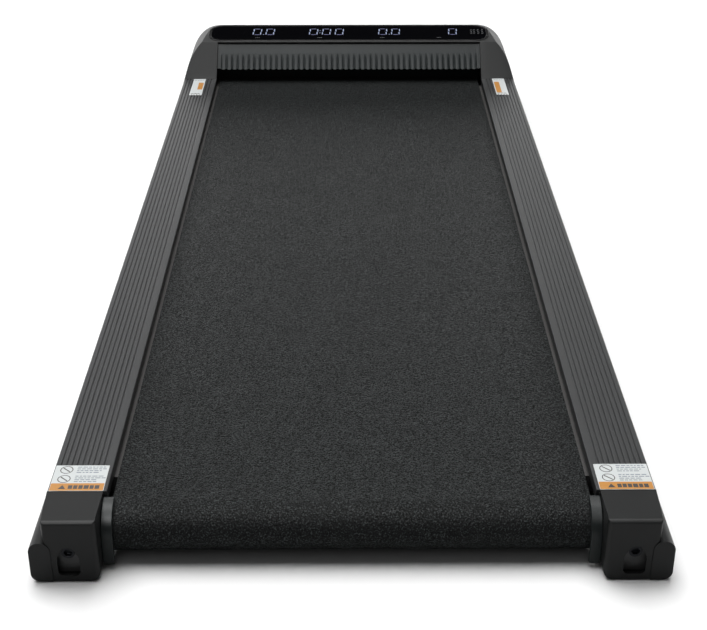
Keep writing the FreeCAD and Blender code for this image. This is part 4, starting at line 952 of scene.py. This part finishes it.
class WALKINGPAD_OT_display(bpy.types.Operator):
    """Finishes the display: bezel, lens and the lit digits that show through it."""

    bl_idname = "walking_pad.display"
    bl_label = "Display"

    def execute(self, context):
        hood, show = pad().hood, pad().display
        finished_copy("display_bezel", moulded("satin_abs_bezel", paint("#0c0c0d"), 0.22, depth=0.01 * MM),
                      0.6 * MM, 3)
        finished_copy("display_lens", smoked_acrylic(), 0.3 * MM, 2)
        low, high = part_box("display_lens")
        self.turn = Matrix.Rotation(hood.lean, 4, "X")
        self.origin = Vector((0, hood.edge_y, hood.edge_z))
        lens_top = self.turn.inverted() @ (Vector((0, high.y, high.z)) - self.origin)
        self.face = lens_top.z + 0.02 * MM
        bright = lit("lit_bar", show.lit, 0.36)
        faint = lit("dim_bar", show.dim, 0.4)
        grey = lit("dim_mark", paint("#8a8d94"), 0.05)
        groups = ((-135, 2), (-35.5, 3), (64, 2), (164.7, 1))
        uprights, bars, dots, marks = [], [], [], []
        middle = 37.5 * MM
        for centre, digits in groups:
            for digit in range(digits):
                x = centre * MM + show.pitch * (digit - (digits - 1) / 2)
                for side in (-1, 1):
                    for rise in (-1, 1):
                        uprights.append((x + side * (show.wide - show.stroke) / 2 + rise * 0.5 * MM,
                                         middle + rise * show.high * 0.25))
                end = (show.high - show.stroke) / 2
                bars += [(x, middle - end), (x, middle + end)]
        dots += [(-135 * MM, middle - 10 * MM), (64 * MM, middle - 10 * MM),
                 (-45.7 * MM, middle - 4.5 * MM), (-45.7 * MM, middle + 4.5 * MM)]
        for centre in (-144, -46, 52.6, 141.8):
            marks += [(centre * MM + step * 2.6 * MM, 15 * MM) for step in (-1, 0, 1)]
        self.lay("digit_sides", self.bar(show.stroke, show.high * 0.40), uprights, bright)
        self.lay("digit_ends", self.bar(show.wide * 0.62, show.stroke), bars, faint)
        self.lay("digit_points", self.bar(1.8 * MM, 1.8 * MM), dots, bright)
        self.lay("caption_marks", self.bar(2.0 * MM, 1.2 * MM), marks, grey)
        waves = [(x * MM, y * MM) for x in (194.4, 199, 205.3, 212) for y in (31, 37.5, 44)]
        self.lay("signal_marks", self.bar(1.0 * MM, 4.6 * MM, 1.2 * MM), waves, grey)
        carry_over(printed("module_face", paint("#c8ccd4")), "digit_modules")
        return {"FINISHED"}

    def bar(self, wide, high, slant=0.0):
        """A flat bar with pointed ends, lying on the lens."""
        point = min(wide, high) * 0.35
        if high >= wide:
            outline = [(-wide / 2 - slant, -high / 2 + point), (-slant, -high / 2),
                       (wide / 2 - slant, -high / 2 + point), (wide / 2 + slant, high / 2 - point),
                       (slant, high / 2), (-wide / 2 + slant, high / 2 - point)]
        else:
            outline = [(-wide / 2, 0), (-wide / 2 + point, -high / 2), (wide / 2 - point, -high / 2),
                       (wide / 2, 0), (wide / 2 - point, high / 2), (-wide / 2 + point, high / 2)]
        made = extrusion("bar", outline, (0, 0.04 * MM), "z")
        made.data.transform(self.turn)
        return made

    def lay(self, name, source, spots, finish):
        """Lays copies of a bar on the lens."""
        places = [self.origin + self.turn @ Vector((x, y, self.face)) for x, y in spots]
        settle(copies(name, source, places, finish), "frame", "digit_plastic", None)


class WALKINGPAD_OT_labels(bpy.types.Operator):
    """Prints the labels on the rails with plain rings, bars and a triangle."""

    bl_idname = "walking_pad.labels"
    bl_label = "Labels"

    def execute(self, context):
        ink = pad().label
        self.film = printed("vinyl_film", ink.film)
        self.band = printed("warm_ink", ink.band)
        # dark ink for the print; the front labels also use it for painted groove shadows
        self.dark = printed("dark_ink_and_painted_shadow", ink.ink)
        self.pale = printed("pale_ink", ink.pale_ink)
        low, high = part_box("rear_labels")
        wide = 45.9 * MM
        films = []
        for name, left in (("left", low.x), ("right", high.x - wide)):
            films.append(self.big(name, Vector((left, low.y, low.z)), wide, high.y - low.y, high.z - low.z))
        settle(joined("rear_label_films", *films), "frame", "label_film", None, "rear_labels")
        low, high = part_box("front_labels")
        wide = 18.5 * MM
        films = []
        for name, left, hand in (("left", low.x, -1), ("right", high.x - wide, 1)):
            films.append(self.small(name, Vector((left, low.y, low.z)), wide, high.y - low.y,
                                    high.z - low.z, hand))
        settle(joined("front_label_films", *films), "frame", "label_film", None, "front_labels")
        return {"FINISHED"}

    def sheet(self, name, corner, x, y, z, finish, soft=0.8 * MM):
        """A rectangle of film or ink; x, y and z are spans from the label's corner."""
        made = extrusion(name, rounded_rectangle(x, y, soft, 4), z, "z")
        made.data.transform(Matrix.Translation(corner))
        made.data.materials.append(finish)
        return made

    def big(self, name, corner, wide, long, thick):
        """A rear label: two rings beside small print, over a warm band."""
        ink = thick + 0.03 * MM
        band_y = 11.2 * MM
        parts = [self.sheet("film_" + name, corner, (0, wide), (0, long), (0, thick), self.film),
                 self.sheet("band_" + name, corner, (0.4 * MM, wide - 0.4 * MM), (0.4 * MM, band_y),
                            (thick, ink), self.band)]
        for y in (31.2 * MM, 17.6 * MM):
            parts.append(self.ring(corner + Vector((10 * MM, y, thick)), 5.6 * MM, 0.8 * MM))
            for number, (start, end) in enumerate(((19, 43), (19, 45), (19, 40), (19, 38))):
                line = y + (4.2 - 2.7 * number) * MM
                parts += self.dashes(corner, start, end, line, 1.1, (thick, ink), self.pale,
                                     number + int(y * 1e4))
        parts += self.dashes(corner, 15.5, 44, 5.6 * MM, 5.2, (thick + 0.03 * MM, ink + 0.03 * MM),
                             self.dark, 3, 3.2, 4.2)
        triangle = mesh_object("triangle_" + name, [corner + Vector((x * MM, y * MM, z)) for z in
                               (ink, ink + 0.03 * MM) for x, y in ((7.2, 2.9), (13.6, 2.9), (10.4, 8.4))],
                               [(0, 1, 2), (3, 4, 5), (0, 1, 4, 3), (1, 2, 5, 4), (2, 0, 3, 5)])
        edit(triangle, outward)
        triangle.data.materials.append(self.dark)
        parts.append(triangle)
        return joined("rear_label_" + name, *parts)

    def small(self, name, corner, wide, long, thick, hand):
        """A front label: a warm strip on its inner side, a few dashes, and a row of dark spots that are
        painted shadow where the rail's grooves run under its near edge.
        """
        ink = thick + 0.03 * MM
        strip = (1.5 * MM, 9 * MM) if hand > 0 else (wide - 9 * MM, wide - 1.5 * MM)
        span = (11 * MM, 62 * MM) if hand > 0 else (27 * MM, 60 * MM)
        parts = [self.sheet("film_" + name, corner, (0, wide), (0, long), (0, thick), self.film),
                 self.sheet("strip_" + name, corner, strip, span, (thick, ink), self.band)]
        ends = (8 * MM, long - 6 * MM)
        for number, y in enumerate(ends):
            parts += self.dashes(corner, 2, wide / MM - 2, y, 2.2, (thick, ink),
                                 self.dark if number == 0 else self.pale, number + 5)
        # painted shadow: four dark spots along the near edge, where the grooves run under the film
        for number in range(4):
            x = (3.1 + 4.1 * number) * MM
            parts.append(self.sheet("spot", corner, (x - 1.1 * MM, x + 1.1 * MM), (0.4 * MM, 3.4 * MM),
                                    (thick, ink), self.dark, 0.9 * MM))
        return joined("front_label_" + name, *parts)

    def dashes(self, corner, start, end, y, high, z, finish, seed, least=1.6, most=4.6):
        """A row of dashes of uneven length that stands for print, in millimetres along the row."""
        made = []
        x = start
        step = seed
        while x < end - least:
            step = (step * 73 + 19) % 101
            long = min(least + (most - least) * step / 101, end - x)
            made.append(self.sheet("dash", corner, (x * MM, (x + long) * MM),
                                   (y - high / 2 * MM, y + high / 2 * MM), z, finish, 0.15 * MM))
            x += long + 0.9
        return made

    def ring(self, centre, radius, stroke):
        """A plain printed ring with one slanting bar."""
        steps = 32
        vertices, faces = [], []
        for size in (radius, radius - stroke):
            for number in range(steps):
                angle = 2 * math.pi * number / steps
                for z in (0, 0.03 * MM):
                    vertices.append(centre + Vector((size * math.cos(angle), size * math.sin(angle), z)))
        for number in range(steps):
            a, b = 2 * number, 2 * ((number + 1) % steps)
            c, d = a + 2 * steps, b + 2 * steps
            faces += [(a, b, b + 1, a + 1), (c, d, d + 1, c + 1), (a, b, d, c),
                      (a + 1, b + 1, d + 1, c + 1)]
        made = edit(mesh_object("ring", vertices, faces), outward)
        made.data.materials.append(self.dark)
        slash = extrusion("slash", [(-3.6 * MM, 2.6 * MM), (-2.8 * MM, 3.4 * MM), (3.6 * MM, -2.6 * MM),
                                    (2.8 * MM, -3.4 * MM)], (0, 0.03 * MM), "z")
        slash.data.transform(Matrix.Translation(centre))
        slash.data.materials.append(self.dark)
        return joined("ring", made, slash)


class WALKINGPAD_OT_works(bpy.types.Operator):
    """Gives the frame, drive, electronics and wheels their real materials."""

    bl_idname = "walking_pad.works"
    bl_label = "Works inside and below"

    def execute(self, context):
        abs_black = moulded("moulded_abs", paint("#1b1c1c"), 0.46)
        finished_copy("belly_pan", abs_black, 0.4 * MM, 2)
        carry_over(moulded("moulded_nylon_wheel", paint("#1d1e1f"), 0.5), "wheel_left", "wheel_right")
        carry_over(powder_coat("powder_coat", paint("#141516")), "frame_tube_left", "frame_tube_right",
                   "cross_members", "rear_brackets", "motor_plate", "motor_cradle", "wheel_forks")
        carry_over(plated("zinc_plate", paint("#b4b7ba")), "deck_screws", "cover_screws",
                   "front_axle_bolts", "front_axle", "rear_axle", "wheel_bolts", "motor_pulley",
                   "board_standoffs")
        carry_over(plated("ground_steel", paint("#a3a6a9"), 0.24), "front_roller_tube", "rear_roller_tube")
        carry_over(plated("bearing_steel", paint("#c4c6c8"), 0.16), "front_roller_bearings",
                   "rear_roller_bearings")
        carry_over(moulded("moulded_nylon", paint("#33302c"), 0.5), "front_roller_plugs",
                   "rear_roller_plugs", "roller_pulley", "cooling_fan")
        carry_over(fibreboard(), "deck_board")
        carry_over(rubber("cushion_rubber", paint("#161616")), "deck_cushions", "rubber_feet")
        carry_over(rubber("drive_belt_rubber", paint("#101010")), "drive_belt")
        carry_over(powder_coat("motor_enamel", paint("#1b1c1f")), "motor_can")
        carry_over(plated("cast_aluminium", paint("#a9abad"), 0.45), "motor_end_bells")
        carry_over(plated("laminated_steel", paint("#77787a"), 0.4), "motor_armature")
        carry_over(circuit_laminate(), "controller_board", "display_board")
        carry_over(plated("extruded_aluminium", paint("#c2c4c6"), 0.35), "heat_sink")
        carry_over(moulded("shrink_sleeve", paint("#15162a"), 0.25), "capacitors")
        carry_over(smoked_acrylic(), "remote_receiver")
        carry_over(plated("nickel_brass", paint("#c9b27a"), 0.25), "inlet_pins")
        carry_over(moulded("wire_insulation", paint("#5a1410"), 0.4), "wiring_loom")
        gloss = moulded("gloss_nylon", paint("#161617"), 0.25, depth=0.01 * MM)
        finished_copy("power_inlet", gloss, 0.3 * MM, 2)
        finished_copy("switch_housing", gloss, 0.3 * MM, 2)
        finished_copy("power_switch", gloss, 0.4 * MM, 2)
        finished_copy("breaker_button", gloss, 0.3 * MM, 2)
        carry_over(gloss, "breaker_body")
        return {"FINISHED"}


class WALKINGPAD_OT_stage(bpy.types.Operator):
    """Sets the pale floor, the soft studio light and the camera."""

    bl_idname = "walking_pad.stage"
    bl_label = "Stage"

    def execute(self, context):
        stage = pad().stage
        floor = mesh_object("floor", [(-12, -12, 0), (12, -12, 0), (12, 12, 0), (-12, 12, 0)],
                            [(0, 1, 2, 3)])
        paper, tree, surface, place = material("studio_paper", stage.floor, 0.9)
        grain = noise(tree, place, 2 * MM)
        tree.links.new(blend_colours(tree, grain, shade(stage.floor, 0.99), stage.floor),
                       surface.inputs["Base Color"])
        floor.data.materials.append(paper)
        scene = bpy.context.scene
        # one broad soft light from above, a little behind and to the left
        sun = bpy.data.lights.new("soft_box", "SUN")
        sun.energy, sun.angle = 4.0, math.radians(54)
        lamp = bpy.data.objects.new("soft_box", sun)
        lamp.rotation_euler = (math.radians(-19), math.radians(-8), 0)
        scene.collection.objects.link(lamp)
        self.highlight("strip_box", (-0.2, -1.2, 2.4), (-0.2, -1.2, 0), (1.6, 2.2), 110.0)
        self.highlight("front_box", (-0.35, -2.4, 1.9), (0, -0.6, 0), (1.2, 0.8), 55.0)
        world = bpy.data.worlds.new("studio")
        world.use_nodes = True
        tree = world.node_tree
        sky = add_node(tree, "ShaderNodeTexCoord").outputs["Generated"]
        sides = add_node(tree, "ShaderNodeSeparateXYZ", links={"Vector": sky}).outputs
        # a bright band low behind the hood, under a dark ceiling that the lens mirrors
        band = spread(tree, sides["Z"], 2.3, 0.03, (0.26, 0.42))
        ahead = spread(tree, sides["Y"], 0.05, 1.0, (0.1, 0.85))
        glow = add_node(tree, "ShaderNodeMath", {"operation": "MULTIPLY"}, {},
                        {0: band, 1: ahead}).outputs[0]
        # a plain white backdrop, whatever lights the pad
        seen = add_node(tree, "ShaderNodeLightPath").outputs["Is Camera Ray"]
        power = add_node(tree, "ShaderNodeMath", {"operation": "MAXIMUM"}, {},
                         {0: glow, 1: seen}).outputs[0]
        backdrop = tree.nodes["Background"].inputs
        tree.links.new(power, backdrop["Strength"])
        backdrop["Color"].default_value = (1.0, 1.0, 1.0, 1.0)
        scene.world = world
        scene.view_settings.view_transform = "Standard"
        data = bpy.data.cameras.new("camera")
        data.lens = stage.focal
        data.sensor_width = 36.0
        camera = bpy.data.objects.new("camera", data)
        scene.collection.objects.link(camera)
        look = (Matrix.Rotation(-stage.pan, 4, "Z") @ Matrix.Rotation(math.pi / 2 - stage.pitch, 4, "X")
                @ Matrix.Rotation(stage.roll, 4, "Z"))
        camera.matrix_world = Matrix.Translation(stage.place) @ look
        scene.camera = camera
        return {"FINISHED"}

    def highlight(self, name, place, target, size, power):
        """A soft box that shows in glossy surfaces only."""
        data = bpy.data.lights.new(name, "AREA")
        data.shape, data.energy = "RECTANGLE", power
        data.size, data.size_y = size
        lamp = bpy.data.objects.new(name, data)
        lamp.location = place
        lamp.rotation_euler = (Vector(target) - Vector(place)).to_track_quat("-Z", "Y").to_euler()
        lamp.visible_diffuse = False
        bpy.context.scene.collection.objects.link(lamp)


# ------------------------------------------------------------------------------- panel and start

OPERATORS = (WALKINGPAD_OT_belt, WALKINGPAD_OT_rails, WALKINGPAD_OT_end_caps, WALKINGPAD_OT_hood,
             WALKINGPAD_OT_ribbed_panel, WALKINGPAD_OT_display, WALKINGPAD_OT_labels, WALKINGPAD_OT_works,
             WALKINGPAD_OT_stage)


class WALKINGPAD_PT_panel(bpy.types.Panel):
    """Lists the pad's pieces and their settings."""

    bl_label = "Walking Pad"
    bl_space_type = "VIEW_3D"
    bl_region_type = "UI"
    bl_category = "Walking Pad"

    def draw(self, context):
        for operator in OPERATORS:
            self.layout.operator(operator.bl_idname)
        settings = context.scene.walking_pad
        for name in PadSettings.__annotations__:
            box = self.layout.box()
            box.label(text=name.capitalize())
            group = getattr(settings, name)
            for row in type(group).__annotations__:
                box.prop(group, row)


SETTINGS = (BeltSettings, RailSettings, HoodSettings, DisplaySettings, LabelSettings, StageSettings,
            PadSettings)


def register():
    """Registers every class and the scene's settings."""
    for item in SETTINGS + OPERATORS + (WALKINGPAD_PT_panel,):
        bpy.utils.register_class(item)
    bpy.types.Scene.walking_pad = PointerProperty(type=PadSettings)


def unregister():
    """Takes the classes and the settings away again."""
    del bpy.types.Scene.walking_pad
    for item in reversed(SETTINGS + OPERATORS + (WALKINGPAD_PT_panel,)):
        bpy.utils.unregister_class(item)


def main():
    register()
    for operator in OPERATORS:
        name = operator.bl_idname.split(".")[1]
        getattr(bpy.ops.walking_pad, name)()
    bpy.context.view_layer.update()


if __name__ == "__main__":
    main()
